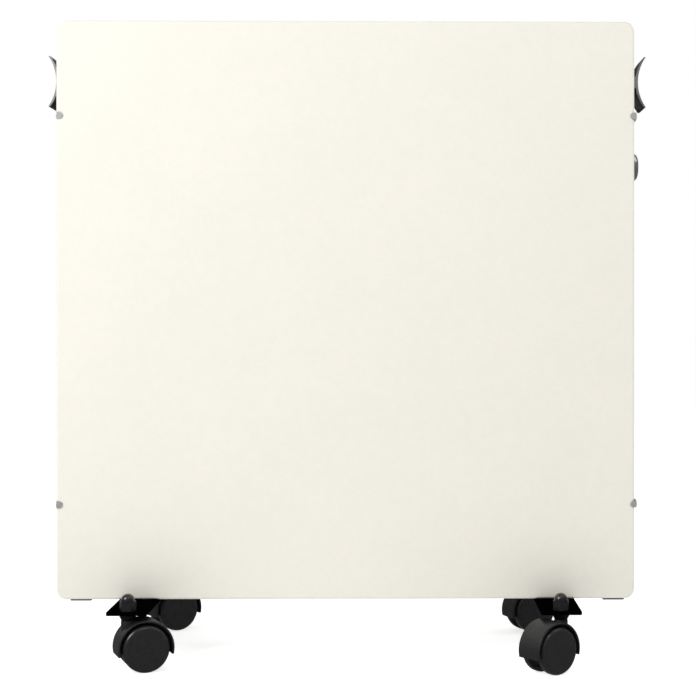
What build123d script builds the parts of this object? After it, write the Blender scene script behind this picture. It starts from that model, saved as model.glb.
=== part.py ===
from build123d import *
import os

# Storage heater: two heat-storing ceramic slabs on a narrow steel frame that rolls on
# four swivel castors. The origin is on the floor under the middle of the body, +X is to
# the right seen from the front, the front slab faces -Y and +Z is up. Sizes are in mm.

# Slabs
SLAB_SIDE = 500.0
SLAB_X = -1.0
SLAB_THICK = 13.0
SLAB_CORNER_R = 9.0
SLAB_FACE_EDGE_R = 2.2
SLAB_BACK_EDGE_R = 0.8
SLAB_BOTTOM_Z = 50.5
BODY_DEPTH = 68.0
SEAL_THICK = 0.8
SEAL_X = (226.0, 238.0)
SEAL_Z = (60.0, 530.0)

# Steel frame
SHEET = 1.5
BEND_OUTER_R = 2.0
BEND_INNER_R = 0.5
CHANNEL_X = 242.0
CHANNEL_FLANGE = 20.5
CHANNEL_Z = (47.2, 545.0)
FLANGE_CHAMFER = 2.0
FLANGE_GAP = 0.6

# Air grilles between the slabs
SLOT_LENGTH = 13.0
SLOT_WIDTH = 3.0
SLOT_PITCH = 7.5
SLOT_ROW_Y = 9.0
SLOT_COLUMNS = 57
SLOT_KEEP_OUT = 12.0

# Angle brackets between grilles and channels
BRACKET_X = 224.0
BRACKET_Y = (-17.0, -3.0)
BRACKET_HEIGHT = 15.5
BRACKET_SCREW_X = 232.0
BRACKET_SCREW_Y = -10.0
BRACKET_SCREW_UP = 8.5

# Slab clips
CLIP_HEIGHT = 5.9
CLIP_SHEET = 0.9
CLIP_FROM_SLAB_END = 82.0
CLIP_OUTER_X = (250.7, 251.8)
CLIP_TAB_CENTRE_X = 248.0
CLIP_NOTCH = (1.6, 6.5)
CLIP_LEG_Y = 17.8
CLIP_FOOT_END_Y = 7.5
CLIP_SCREW_Y = 12.0

# Handles: a thin curved plate on a central web
HANDLE_Z = 500.5
HANDLE_DEPTH = 36.0
HANDLE_HALF_HEIGHT = 22.0
HANDLE_TIP_X = (259.7, 261.3)
HANDLE_MID_X = (252.2, 254.4)
HANDLE_WEB = 9.6
HANDLE_FILLET = 3.0
HANDLE_SCREW_Y = 10.0
HANDLE_SCREW_LENGTH = 9.5

# Castor bars
BAR_WIDTH = 33.8
BAR_LENGTH = 185.8
BAR_THICK = 3.0
BAR_X = 179.75
BAR_CORNER_R = 1.5
BAR_BOLT_Y = 12.0

# Castors
STEM_Y = 85.0
TRAIL = 13.1
WHEEL_R = 19.7
WHEEL_Y = (6.2, 13.9)
WHEEL_OUTER_EDGE_R = 4.0
WHEEL_INNER_EDGE_R = 0.6
WHEEL_HUB_R = 5.0
WHEEL_RIM_INNER_R = 16.5
WHEEL_DISH = 5.0
WHEEL_CAP = 1.2
HOOD_R = 23.6
HOOD_INNER_R = 22.0
HOOD_WIDTH = 24.6
HOOD_EDGE_R = 0.8
HOOD_BOTTOM_Z = 14.4
HOOD_WEB = 4.0
BOSS_R = 5.7
BOSS_Z = (21.0, 42.6)
BOSS_EDGE = 0.5
STEM_R = 4.0
STEM_Z = (25.0, 61.0)
COLLAR_BOTTOM_Z = 42.8
COLLAR_R = (5.2, 7.7)
AXLE_R = 2.5
AXLE_HALF = 12.3
RUNNING_GAP = 0.05

# Where each stem stands, which way its castor trails at rest in degrees from +X about +Z,
# and how far its cap nut is turned
CASTORS = {
    "front_left": (-BAR_X, -STEM_Y, 21.9, -3.6),
    "front_right": (BAR_X, -STEM_Y, 217.9, 18.5),
    "rear_left": (-BAR_X, STEM_Y, 36.0, 17.0),
    "rear_right": (BAR_X, STEM_Y, 202.6, -11.0),
}

# Fasteners. A screw is head radius, head height and shank radius
CAP_NUT_FLATS = 12.2
CAP_NUT_HEX = 8.0
CAP_NUT_CHAMFER = 0.7
CAP_NUT_DOME_R = 5.7
CAP_NUT_HEIGHT = 14.2
BOLT_FLATS = 10.0
BOLT_HEAD = 4.0
BOLT_R = 3.0
BOLT_END_Z = 59.0
NUT_HEIGHT = 5.0
M3 = (2.8, 1.7, 1.45)
M4 = (3.6, 2.2, 1.95)
M5 = (4.6, 2.8, 2.45)
HOLE_GAP = 0.15

# Thermostat
KNOB_Z = 427.5
KNOB_R = 12.5
KNOB_X = (243.0, 256.6)
KNOB_STRAIGHT_X = 251.3
KNOB_SHOULDER = (254.84, 11.04)
KNOB_FACE = (256.3, 7.5)
KNOB_HOLLOW_X = 247.5
KNOB_HOLLOW_R = 11.0
KNOB_HUB_R = 4.6
DIAL_PLATE_R = 19.0
DIAL_PLATE_THICK = 0.8
SHAFT_R = 3.0
SHAFT_X = (228.3, 253.5)
THERMOSTAT_HALF = 16.0
THERMOSTAT_DEPTH = 20.0
THERMOSTAT_SCREW_Z = 8.0
SENSOR = (212.0, 11.0, (150.0, 210.0))
SENSOR_R = 3.0
CAPILLARY_X = 226.0
CAPILLARY_R = 0.8

# Mains switch
SWITCH_Z = 380.0
SWITCH_PIVOT_X = 241.5
SWITCH_TILT = 8.0
SWITCH_BEZEL = (7.5, 10.5, 1.8)
SWITCH_BODY = (6.5, 9.5, 17.5)
SWITCH_POCKET = (5.6, 8.8, 5.0)
ROCKER_HALF_WIDTH = 5.3
ROCKER_HALF_LENGTH = 7.6
ROCKER_VALLEY = 2.6
ROCKER_CREST = 3.7
ROCKER_BACK = 2.0
TRUNNION_R = 1.0
TRUNNION_END_Y = 6.1

# Mains inlet
GLAND_Z = 80.0
GLAND_X = (230.5, 248.5)
GLAND_BORE_R = 4.2
GLAND_THREAD_R = 7.0
GLAND_FLANGE = (10.0, 2.5)
GLAND_NOSE_R = (6.8, 8.5)
GLAND_NUT_FLATS = 19.0
GLAND_NUT_HEIGHT = 4.0

# Storage core between the slabs
CORE_X = (-214.0, 196.0)
CORE_Z = (61.5, 525.5)
CORE_HALF_DEPTH = 15.0
BRICK_COLUMNS = 4
BRICK_ROWS = 4
BRICK_GAP = 0.6
LAYER_GAP = 0.4
ELEMENT_R = 3.25
ELEMENT_LEGS = 8
ELEMENT_PITCH = 57.0
ELEMENT_FIRST_Z = 93.5
ELEMENT_BEND_X = (-165.0, 150.0)
ELEMENT_END_X = 222.0
GROOVE_R = 3.6
PIN_R = 1.5
PIN_LENGTH = 10.0
RAIL_DEPTH = 12.0
RAIL_GAP = 0.2
RAIL_END_X = -236.0
RAIL_TAB = (3.0, 18.0)
RAIL_SCREW_Y = 10.0
RAIL_SCREW_UP = 10.0

# Wiring space beside the core
SHIELD_X = 204.0
SHIELD_SHEET = 1.2
SHIELD_HALF_Y = 18.0
SHIELD_FLANGE = 15.0
SHIELD_SCREW = (212.0, 8.0)
BOARD_THICK = 6.0
BOARD_HALF_Y = 17.0
BOARD_Z = (76.0, 511.0)
BUSHING_X = (198.5, 213.0)
BUSHING_R = 5.0
CUTOUT_Z = 470.0
CUTOUT_R = (8.0, 6.0)
CUTOUT_X = (211.2, 213.2)
TERMINAL_X = 224.5
TERMINAL_HALF_Y = 15.0
TERMINAL_Z = (148.0, 170.0)
TERMINAL_PITCH = 10.0
EARTH_STUD = (11.0, 98.0)
EARTH_STUD_X = 228.0
EARTH_STUD_R = 2.5
EARTH_NUT = (8.0, 4.0)
WIRE_R = 1.3
WIRE_BEND = 4.0

SLAB_FACE_Y = BODY_DEPTH / 2
SLAB_BACK_Y = SLAB_FACE_Y - SLAB_THICK
SLAB_MIDDLE_Z = SLAB_BOTTOM_Z + SLAB_SIDE / 2
CHANNEL_Y = SLAB_BACK_Y - SEAL_THICK
WEB_X = CHANNEL_X - SHEET
PLATE_HALF_Y = CHANNEL_Y - SHEET - FLANGE_GAP
TOP_PLATE_Z = (CHANNEL_Z[1] - SHEET, CHANNEL_Z[1])
BOTTOM_PLATE_Z = (SLAB_BOTTOM_Z, SLAB_BOTTOM_Z + SHEET)
BAR_BOTTOM_Z = SLAB_BOTTOM_Z - BAR_THICK
CLIP_Z = (SLAB_BOTTOM_Z + CLIP_FROM_SLAB_END, 2 * SLAB_MIDDLE_Z - SLAB_BOTTOM_Z - CLIP_FROM_SLAB_END)
BRACKET_SCREW_Z = (BOTTOM_PLATE_Z[1] + BRACKET_SCREW_UP, TOP_PLATE_Z[0] - BRACKET_SCREW_UP)
RAIL_HALF_Y = CORE_HALF_DEPTH + RAIL_GAP + SHEET
RAIL_SCREW_Z = (CORE_Z[0] - SHEET + RAIL_SCREW_UP, CORE_Z[1] + SHEET - RAIL_SCREW_UP)
SHIELD_FACE_X = SHIELD_X + SHIELD_SHEET
DIAL_FACE_X = CHANNEL_X + DIAL_PLATE_THICK
ELEMENT_Z = (ELEMENT_FIRST_Z, ELEMENT_FIRST_Z + (ELEMENT_LEGS - 1) * ELEMENT_PITCH)
THROUGH = 40.0


def block(x, y, z):
    """A box between a low and a high value on each axis."""
    place = Pos(sum(x) / 2, sum(y) / 2, sum(z) / 2)
    return place * Box(x[1] - x[0], y[1] - y[0], z[1] - z[0])


def rod_x(x, y, z, radius):
    return Pos(sum(x) / 2, y, z) * Rot(0, 90, 0) * Cylinder(radius, x[1] - x[0])


def rod_y(x, y, z, radius):
    return Pos(x, sum(y) / 2, z) * Rot(90, 0, 0) * Cylinder(radius, y[1] - y[0])


def rod_z(x, y, z, radius):
    return Pos(x, y, sum(z) / 2) * Cylinder(radius, z[1] - z[0])


def hex_prism(flats, height):
    """A hexagon on the XY plane, given across its flats, raised along +Z."""
    return extrude(RegularPolygon(flats / 2, 6, major_radius=False), height)


def round_run(points, bend, radius):
    """A round rod along straight runs, with an arc at each corner."""
    path = FilletPolyline(*points, radius=bend) if len(points) > 2 else Line(*points)
    return sweep(Plane(origin=path @ 0, z_dir=path % 0) * Circle(radius), path)


def pan_screw(size, length):
    """A screw down the Z axis: the underside of its cross-slotted head is at the origin."""
    head_r, head_height, shank_r = size
    head = rod_z(0, 0, (0, head_height), head_r)
    head = fillet(head.edges().sort_by(Axis.Z)[-1], head_height / 2)
    for turn in (0, 90):
        head -= Pos(0, 0, head_height) * Rot(0, 0, turn) * Box(head_r, head_r / 4, head_height)
    return head + rod_z(0, 0, (-length, 0), shank_r)


def mirrored(piece):
    """The piece and its mirror image on the other side of the body's middle."""
    return [piece, piece.mirror(Plane.YZ)]


def write(name, *pieces):
    """Writes one node, as one solid or as a group of separate solids."""
    solids = [solid for piece in pieces for solid in piece.solids()]
    shape = solids[0] if len(solids) == 1 else Compound(solids)
    export_step(shape, f"parts/{name}.step")


# Slabs, seals and clips


def front_slab():
    """A square plate, hung a little left of the middle, with a notch in its edge for each clip."""
    plate = extrude(RectangleRounded(SLAB_SIDE, SLAB_SIDE, SLAB_CORNER_R), SLAB_THICK)
    plate = fillet(plate.faces().sort_by(Axis.Z)[-1].edges(), SLAB_FACE_EDGE_R)
    plate = fillet(plate.faces().sort_by(Axis.Z)[0].edges(), SLAB_BACK_EDGE_R)
    slab = Pos(SLAB_X, -SLAB_BACK_Y, SLAB_MIDDLE_Z) * Rot(90, 0, 0) * plate
    depth, height = CLIP_NOTCH
    for z in CLIP_Z:
        for edge_x in (SLAB_X - SLAB_SIDE / 2, SLAB_X + SLAB_SIDE / 2):
            span_x = (edge_x - depth, edge_x + depth)
            slab -= block(span_x, (-THROUGH, THROUGH), (z - height / 2, z + height / 2))
    return slab


def slab_seals():
    strip = block(SEAL_X, (-SLAB_BACK_Y, -CHANNEL_Y), SEAL_Z)
    return [piece for side in mirrored(strip) for piece in (side, side.mirror(Plane.XZ))]


def front_clip(z):
    """One right-hand clip: tab on the slab's face, strap past its edge, foot on the channel."""
    low_z = z - CLIP_HEIGHT / 2
    high_z = z + CLIP_HEIGHT / 2
    front_x, back_x = CLIP_OUTER_X
    tab_y = (-SLAB_FACE_Y - CLIP_SHEET, -SLAB_FACE_Y)
    foot_x = CHANNEL_X + CLIP_SHEET
    leg_front_y = -CLIP_LEG_Y - CLIP_SHEET
    outside = [(front_x, tab_y[0]), (back_x, -CLIP_LEG_Y), (foot_x, -CLIP_LEG_Y), (foot_x, -CLIP_FOOT_END_Y)]
    inside = [(CHANNEL_X, -CLIP_FOOT_END_Y), (CHANNEL_X, leg_front_y), (back_x - CLIP_SHEET, leg_front_y)]
    inside.append((front_x - CLIP_SHEET, tab_y[0]))
    strap = Pos(0, 0, low_z) * extrude(make_face(Polyline(*outside, *inside, close=True)), CLIP_HEIGHT)
    upright = strap.edges().filter_by(Axis.Z)
    bends = [upright.sort_by(Axis.X)[-1], upright.group_by(Axis.Y)[0].sort_by(Axis.X)[-1]]
    strap = fillet(bends, CLIP_SHEET * 0.8)
    tab = rod_y(CLIP_TAB_CENTRE_X, tab_y, z, CLIP_HEIGHT / 2)
    tab += block((CLIP_TAB_CENTRE_X, front_x - CLIP_SHEET * 0.75), tab_y, (low_z, high_z))
    hole = rod_x((CHANNEL_X - 1, CHANNEL_X + THROUGH), -CLIP_SCREW_Y, z, M3[2] + HOLE_GAP)
    return strap + tab - hole


def front_clips():
    return [piece for z in CLIP_Z for piece in mirrored(front_clip(z))]


def clip_screws():
    screw = Pos(CHANNEL_X + CLIP_SHEET, 0, 0) * Rot(0, 90, 0) * pan_screw(M3, 7)
    placed = [Pos(0, y, z) * screw for y in (-CLIP_SCREW_Y, CLIP_SCREW_Y) for z in CLIP_Z]
    return [piece for right in placed for piece in mirrored(right)]


# Steel frame


def side_channel(web_cuts):
    """The right-hand channel, open towards the middle, with its web cut by the given tools."""
    inner_x = CHANNEL_X - CHANNEL_FLANGE
    outer = block((inner_x, CHANNEL_X), (-CHANNEL_Y, CHANNEL_Y), CHANNEL_Z)
    outer = fillet(outer.edges().filter_by(Axis.Z).group_by(Axis.X)[-1], BEND_OUTER_R)
    hollow_y = CHANNEL_Y - SHEET
    hollow_z = (CHANNEL_Z[0] - 1, CHANNEL_Z[1] + 1)
    hollow = block((inner_x - 1, WEB_X), (-hollow_y, hollow_y), hollow_z)
    hollow = fillet(hollow.edges().filter_by(Axis.Z).group_by(Axis.X)[-1], BEND_INNER_R)
    channel = outer - hollow
    lower_corners = channel.edges().filter_by(Axis.Y).group_by(Axis.Z)[0].group_by(Axis.X)[0]
    return chamfer(lower_corners, FLANGE_CHAMFER) - web_cuts


def web_hole(y, z, radius):
    return rod_x((WEB_X - 1, CHANNEL_X + 1), y, z, radius)


def shared_web_holes():
    """Holes that both channels have: clips, handle and grille brackets."""
    clip_ys = (-CLIP_SCREW_Y, CLIP_SCREW_Y)
    holes = [web_hole(y, z, M3[2] + HOLE_GAP) for y in clip_ys for z in CLIP_Z]
    handle_ys = (-HANDLE_SCREW_Y, HANDLE_SCREW_Y)
    holes += [web_hole(y, HANDLE_Z, M5[2] + HOLE_GAP) for y in handle_ys]
    holes += [web_hole(BRACKET_SCREW_Y, z, M4[2] + HOLE_GAP) for z in BRACKET_SCREW_Z]
    return holes


def left_channel():
    rail_holes = [web_hole(RAIL_SCREW_Y, z, M4[2] + HOLE_GAP) for z in RAIL_SCREW_Z]
    return side_channel(shared_web_holes() + rail_holes).mirror(Plane.YZ)


def right_channel():
    screw_zs = (KNOB_Z - THERMOSTAT_SCREW_Z, KNOB_Z + THERMOSTAT_SCREW_Z)
    holes = [web_hole(0, z, M3[2] + HOLE_GAP) for z in screw_zs]
    holes.append(web_hole(0, KNOB_Z, SHAFT_R + 1))
    holes.append(web_hole(0, GLAND_Z, GLAND_THREAD_R + HOLE_GAP))
    holes.append(web_hole(*EARTH_STUD, EARTH_STUD_R + RUNNING_GAP))
    half_y = SWITCH_BODY[0] + HOLE_GAP
    half_z = SWITCH_BODY[1] + HOLE_GAP
    switch_z = (SWITCH_Z - half_z, SWITCH_Z + half_z)
    holes.append(block((WEB_X - 1, CHANNEL_X + 1), (-half_y, half_y), switch_z))
    return side_channel(shared_web_holes() + holes)


def grille(low_z, screw_holes, keep_out):
    """A slotted plate between the channels, with no slot close to the given X places."""
    plate = Rectangle(2 * WEB_X, 2 * PLATE_HALF_Y)
    middle = (SLOT_COLUMNS - 1) / 2
    columns = [(column - middle) * SLOT_PITCH for column in range(SLOT_COLUMNS)]
    free = [x for x in columns if all(abs(x - place) > SLOT_KEEP_OUT for place in keep_out)]
    slot = SlotOverall(SLOT_LENGTH, SLOT_WIDTH, rotation=90)
    plate -= [Pos(x, y) * slot for x in free for y in (-SLOT_ROW_Y, SLOT_ROW_Y)]
    plate -= [Pos(x, y) * Circle(radius) for x, y, radius in screw_holes]
    return Pos(0, 0, low_z) * extrude(plate, SHEET)


def plate_screw_holes():
    radius = M4[2] + HOLE_GAP
    brackets = [(side * BRACKET_SCREW_X, BRACKET_SCREW_Y, radius) for side in (-1, 1)]
    return brackets + [(*SHIELD_SCREW, radius)]


def top_grille():
    return grille(TOP_PLATE_Z[0], plate_screw_holes(), [SHIELD_SCREW[0]])


def bottom_grille():
    bolts = [(x, y, BOLT_R + HOLE_GAP) for x in (-BAR_X, BAR_X) for y in (-BAR_BOLT_Y, BAR_BOLT_Y)]
    return grille(BOTTOM_PLATE_Z[0], plate_screw_holes() + bolts, [-BAR_X, BAR_X, SHIELD_SCREW[0]])


def grille_brackets():
    """Four angles that fix the two grilles to the webs of the channels."""
    low = BOTTOM_PLATE_Z[1]
    angle = block((BRACKET_X, WEB_X), BRACKET_Y, (low, low + SHEET))
    angle += block((WEB_X - SHEET, WEB_X), BRACKET_Y, (low, low + BRACKET_HEIGHT))
    angle -= rod_x((BRACKET_X, WEB_X + 1), BRACKET_SCREW_Y, BRACKET_SCREW_Z[0], M4[2] + HOLE_GAP)
    angle -= rod_z(BRACKET_SCREW_X, BRACKET_SCREW_Y, (low - 1, low + THROUGH), M4[2] + HOLE_GAP)
    middle_z = (BOTTOM_PLATE_Z[1] + TOP_PLATE_Z[0]) / 2
    upper = angle.mirror(Plane.XY.offset(middle_z))
    return mirrored(angle) + mirrored(upper)


def m4_screws():
    """Pan-head screws of the grille brackets, core rails and heat shield."""
    outward = Rot(0, 90, 0) * pan_screw(M4, 6)
    bracket = [Pos(CHANNEL_X, BRACKET_SCREW_Y, z) * outward for z in BRACKET_SCREW_Z]
    up = Pos(BRACKET_SCREW_X, BRACKET_SCREW_Y, TOP_PLATE_Z[1]) * pan_screw(M4, 6)
    down_place = Pos(BRACKET_SCREW_X, BRACKET_SCREW_Y, BOTTOM_PLATE_Z[0])
    down = down_place * Rot(180, 0, 0) * pan_screw(M4, 6)
    screws = [piece for right in [*bracket, up, down] for piece in mirrored(right)]
    left = Rot(0, -90, 0) * pan_screw(M4, 6)
    screws += [Pos(-CHANNEL_X, RAIL_SCREW_Y, z) * left for z in RAIL_SCREW_Z]
    screws += [Pos(SHIELD_FACE_X, RAIL_SCREW_Y, z) * outward for z in RAIL_SCREW_Z]
    flange_top_z = BOTTOM_PLATE_Z[1] + SHIELD_SHEET
    flange_low_z = TOP_PLATE_Z[0] - SHIELD_SHEET
    short = pan_screw(M4, SHEET + SHIELD_SHEET)
    screws.append(Pos(*SHIELD_SCREW, flange_top_z) * short)
    screws.append(Pos(*SHIELD_SCREW, flange_low_z) * Rot(180, 0, 0) * short)
    return screws


# Handles


def right_handle():
    """A T-section: a plate that curves away from the body at both ends, on a central web."""
    tips = (-HANDLE_HALF_HEIGHT, HANDLE_HALF_HEIGHT)
    inner = ThreePointArc((HANDLE_TIP_X[0], tips[0]), (HANDLE_MID_X[0], 0), (HANDLE_TIP_X[0], tips[1]))
    outer = ThreePointArc((HANDLE_TIP_X[1], tips[0]), (HANDLE_MID_X[1], 0), (HANDLE_TIP_X[1], tips[1]))
    ends = [Line((HANDLE_TIP_X[0], z), (HANDLE_TIP_X[1], z)) for z in tips]
    plate = extrude(Plane.XZ * make_face([inner, outer, *ends]), HANDLE_DEPTH / 2, both=True)
    span_y = (-HANDLE_DEPTH / 2, HANDLE_DEPTH / 2)
    into_plate_x = HANDLE_MID_X[0] + 0.8
    bar = plate + block((CHANNEL_X, into_plate_x), span_y, (-HANDLE_WEB / 2, HANDLE_WEB / 2))
    flare_x = HANDLE_MID_X[0] - HANDLE_FILLET
    flare_z = HANDLE_WEB / 2 + HANDLE_FILLET
    for side in (-1, 1):
        flare = block((flare_x, into_plate_x), span_y, sorted((0, side * flare_z)))
        bar += flare - rod_y(flare_x, (-THROUGH, THROUGH), side * flare_z, HANDLE_FILLET)
    bar = Pos(0, 0, HANDLE_Z) * bar
    screw_x = (CHANNEL_X - 1, CHANNEL_X + HANDLE_SCREW_LENGTH)
    holes = [rod_x(screw_x, y, HANDLE_Z, M5[2] + RUNNING_GAP) for y in (-HANDLE_SCREW_Y, HANDLE_SCREW_Y)]
    return bar - holes


def handle_screws():
    screw = Pos(WEB_X, 0, HANDLE_Z) * Rot(0, -90, 0) * pan_screw(M5, HANDLE_SCREW_LENGTH)
    ys = (-HANDLE_SCREW_Y, HANDLE_SCREW_Y)
    return [piece for y in ys for piece in mirrored(Pos(0, y, 0) * screw)]


# Castor bars and castors


def castor_bar(x):
    outline = RectangleRounded(BAR_WIDTH, BAR_LENGTH, BAR_CORNER_R)
    outline -= [Pos(0, y) * Circle(STEM_R + HOLE_GAP) for y in (-STEM_Y, STEM_Y)]
    outline -= [Pos(0, y) * Circle(BOLT_R + HOLE_GAP) for y in (-BAR_BOLT_Y, BAR_BOLT_Y)]
    return Pos(x, 0, BAR_BOTTOM_Z) * extrude(outline, BAR_THICK)


def at_bar_bolts(piece):
    return [Pos(x, y, 0) * piece for x in (-BAR_X, BAR_X) for y in (-BAR_BOLT_Y, BAR_BOLT_Y)]


def at_stems(piece):
    """The piece on every stem, turned about it as that stem's cap nut is."""
    return [Pos(x, y, 0) * Rot(0, 0, nut_turn) * piece for x, y, heading, nut_turn in CASTORS.values()]


def bar_bolts():
    bolt = Pos(0, 0, BAR_BOTTOM_Z - BOLT_HEAD) * hex_prism(BOLT_FLATS, BOLT_HEAD)
    return at_bar_bolts(bolt + rod_z(0, 0, (BAR_BOTTOM_Z, BOLT_END_Z), BOLT_R))


def bar_nuts():
    nut = Pos(0, 0, BOTTOM_PLATE_Z[1]) * hex_prism(BOLT_FLATS, NUT_HEIGHT)
    return at_bar_bolts(nut - rod_z(0, 0, (0, THROUGH * 2), BOLT_R + RUNNING_GAP))


def castor_stem():
    collar_middle = (COLLAR_BOTTOM_Z + BAR_BOTTOM_Z) / 2
    collar = Pos(0, 0, collar_middle) * Cone(*COLLAR_R, BAR_BOTTOM_Z - COLLAR_BOTTOM_Z)
    return collar + rod_z(0, 0, STEM_Z, STEM_R)


def cap_nut():
    """A hexagon with its upper corners turned off, and a half ball on top."""
    dome_z = CAP_NUT_HEIGHT - CAP_NUT_DOME_R
    blank = chamfer(rod_z(0, 0, (0, CAP_NUT_HEX), CAP_NUT_FLATS * 0.58).edges().sort_by(Axis.Z)[-1], CAP_NUT_CHAMFER)
    nut = hex_prism(CAP_NUT_FLATS, CAP_NUT_HEX) & blank
    nut += Pos(0, 0, dome_z) * Sphere(CAP_NUT_DOME_R) & block((-9, 9), (-9, 9), (CAP_NUT_HEX - 0.2, THROUGH))
    thread = rod_z(0, 0, (-1, STEM_Z[1] - SLAB_BOTTOM_Z + 0.5), STEM_R + RUNNING_GAP)
    return Pos(0, 0, SLAB_BOTTOM_Z) * (nut - thread)


def castor_hood():
    """A half-round fender with a middle web for the axle and a boss for the stem."""
    at_axle = Pos(TRAIL, 0, WHEEL_R) * Rot(90, 0, 0)
    fender = Cylinder(HOOD_R, HOOD_WIDTH) - Cylinder(HOOD_INNER_R, HOOD_WIDTH)
    rims = fender.edges().filter_by(GeomType.CIRCLE).group_by(SortBy.RADIUS)[-1]
    fender = fillet(rims, HOOD_EDGE_R) + Cylinder(HOOD_INNER_R + 0.5, HOOD_WEB)
    keep = block((-THROUGH, THROUGH * 2), (-THROUGH, THROUGH), (HOOD_BOTTOM_Z, THROUGH * 2))
    boss = rod_z(0, 0, BOSS_Z, BOSS_R)
    boss = chamfer(boss.edges().sort_by(Axis.Z)[-1], BOSS_EDGE)
    hood = (at_axle * fender & keep) + boss
    hood -= rod_z(0, 0, (STEM_Z[0] - 0.5, THROUGH * 2), STEM_R + RUNNING_GAP)
    return hood - at_axle * Cylinder(AXLE_R + RUNNING_GAP / 5, THROUGH)


def castor_axle():
    return rod_y(TRAIL, (-AXLE_HALF, AXLE_HALF), WHEEL_R, AXLE_R)


def castor_wheel():
    """The wheel on the castor's +Y side: a closed outer face, dished and bored from inside."""
    width = WHEEL_Y[1] - WHEEL_Y[0]
    wheel = rod_z(0, 0, (0, width), WHEEL_R)
    wheel = fillet(wheel.edges().sort_by(Axis.Z)[-1], WHEEL_OUTER_EDGE_R)
    wheel = fillet(wheel.edges().sort_by(Axis.Z)[0], WHEEL_INNER_EDGE_R)
    dish = rod_z(0, 0, (-1, WHEEL_DISH), WHEEL_RIM_INNER_R)
    wheel -= dish - rod_z(0, 0, (-1, WHEEL_DISH), WHEEL_HUB_R)
    wheel -= rod_z(0, 0, (-1, width - WHEEL_CAP), AXLE_R + RUNNING_GAP)
    return Pos(TRAIL, WHEEL_Y[0], WHEEL_R) * Rot(-90, 0, 0) * wheel


# Controls on the right-hand channel


def thermostat_knob():
    """A domed cap, hollow at the back, with a pointer groove that is upright at rest."""
    shoulder = ThreePointArc((KNOB_STRAIGHT_X, KNOB_R), KNOB_SHOULDER, KNOB_FACE)
    face_middle = ((KNOB_FACE[0] + KNOB_X[1]) / 2 + 0.07, KNOB_FACE[1] / 2)
    crown = ThreePointArc(KNOB_FACE, face_middle, (KNOB_X[1], 0))
    back = Polyline((KNOB_X[1], 0), (KNOB_X[0], 0), (KNOB_X[0], KNOB_R), (KNOB_STRAIGHT_X, KNOB_R))
    knob = revolve(make_face([shoulder, crown, *back.edges()]), Axis.X)
    hollow = rod_x((KNOB_X[0] - 1, KNOB_HOLLOW_X), 0, 0, KNOB_HOLLOW_R)
    knob -= hollow - rod_x((KNOB_X[0], KNOB_HOLLOW_X), 0, 0, KNOB_HUB_R)
    knob -= rod_x((KNOB_X[0] - 1, SHAFT_X[1] + 0.3), 0, 0, SHAFT_R + RUNNING_GAP / 5)
    knob -= block((KNOB_X[1] - 0.8, KNOB_X[1] + 1), (-0.6, 0.6), (2.5, KNOB_R + 1))
    return Pos(0, 0, KNOB_Z) * knob


def dial_plate():
    plate = rod_x((CHANNEL_X, DIAL_FACE_X), 0, KNOB_Z, DIAL_PLATE_R)
    plate -= rod_x((CHANNEL_X - 1, CHANNEL_X + 3), 0, KNOB_Z, SHAFT_R + 0.6)
    for z in (KNOB_Z - THERMOSTAT_SCREW_Z, KNOB_Z + THERMOSTAT_SCREW_Z):
        plate -= rod_x((CHANNEL_X - 1, CHANNEL_X + 3), 0, z, M3[2] + HOLE_GAP)
    return plate


def thermostat_body():
    half = THERMOSTAT_HALF
    body = block((WEB_X - THERMOSTAT_DEPTH, WEB_X), (-half, half), (KNOB_Z - half, KNOB_Z + half))
    body = fillet(body.edges().filter_by(Axis.X), 2)
    body -= rod_x((SHAFT_X[0] - 0.3, THROUGH * 7), 0, KNOB_Z, SHAFT_R + RUNNING_GAP)
    for z in (KNOB_Z - THERMOSTAT_SCREW_Z, KNOB_Z + THERMOSTAT_SCREW_Z):
        body -= rod_x((WEB_X - 6, WEB_X + 1), 0, z, M3[2] + RUNNING_GAP)
    return body


def thermostat_screws():
    screw = Rot(0, 90, 0) * pan_screw(M3, 7)
    zs = (KNOB_Z - THERMOSTAT_SCREW_Z, KNOB_Z + THERMOSTAT_SCREW_Z)
    return [Pos(DIAL_FACE_X, 0, z) * screw for z in zs]


def sensor_bulb():
    """A bulb in the incoming air, and the capillary from it up to the thermostat."""
    x, y, z = SENSOR
    bulb = fillet(rod_z(x, y, z, SENSOR_R).edges(), SENSOR_R / 2)
    bend_z = z[1] + 20
    points = [(x, y, z[1] - 1), (x, y, bend_z), (CAPILLARY_X, y, bend_z + 20)]
    points.append((CAPILLARY_X, y, KNOB_Z - THERMOSTAT_HALF))
    return bulb + round_run(points, 6, CAPILLARY_R)


def switch_housing():
    bezel_y, bezel_z, bezel_x = SWITCH_BEZEL
    body_y, body_z, body_x = SWITCH_BODY
    pocket_y, pocket_z, pocket_x = SWITCH_POCKET
    bezel = block((CHANNEL_X, CHANNEL_X + bezel_x), (-bezel_y, bezel_y), (-bezel_z, bezel_z))
    bezel = fillet(bezel.edges().filter_by(Axis.X), 1)
    housing = bezel + block((CHANNEL_X - body_x, CHANNEL_X), (-body_y, body_y), (-body_z, body_z))
    pocket_span = (SWITCH_PIVOT_X - pocket_x, CHANNEL_X + bezel_x + 1)
    housing -= block(pocket_span, (-pocket_y, pocket_y), (-pocket_z, pocket_z))
    housing -= rod_y(SWITCH_PIVOT_X, (-TRUNNION_END_Y - 0.1, TRUNNION_END_Y + 0.1), 0, TRUNNION_R + RUNNING_GAP)
    return Pos(0, 0, SWITCH_Z) * housing


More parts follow.
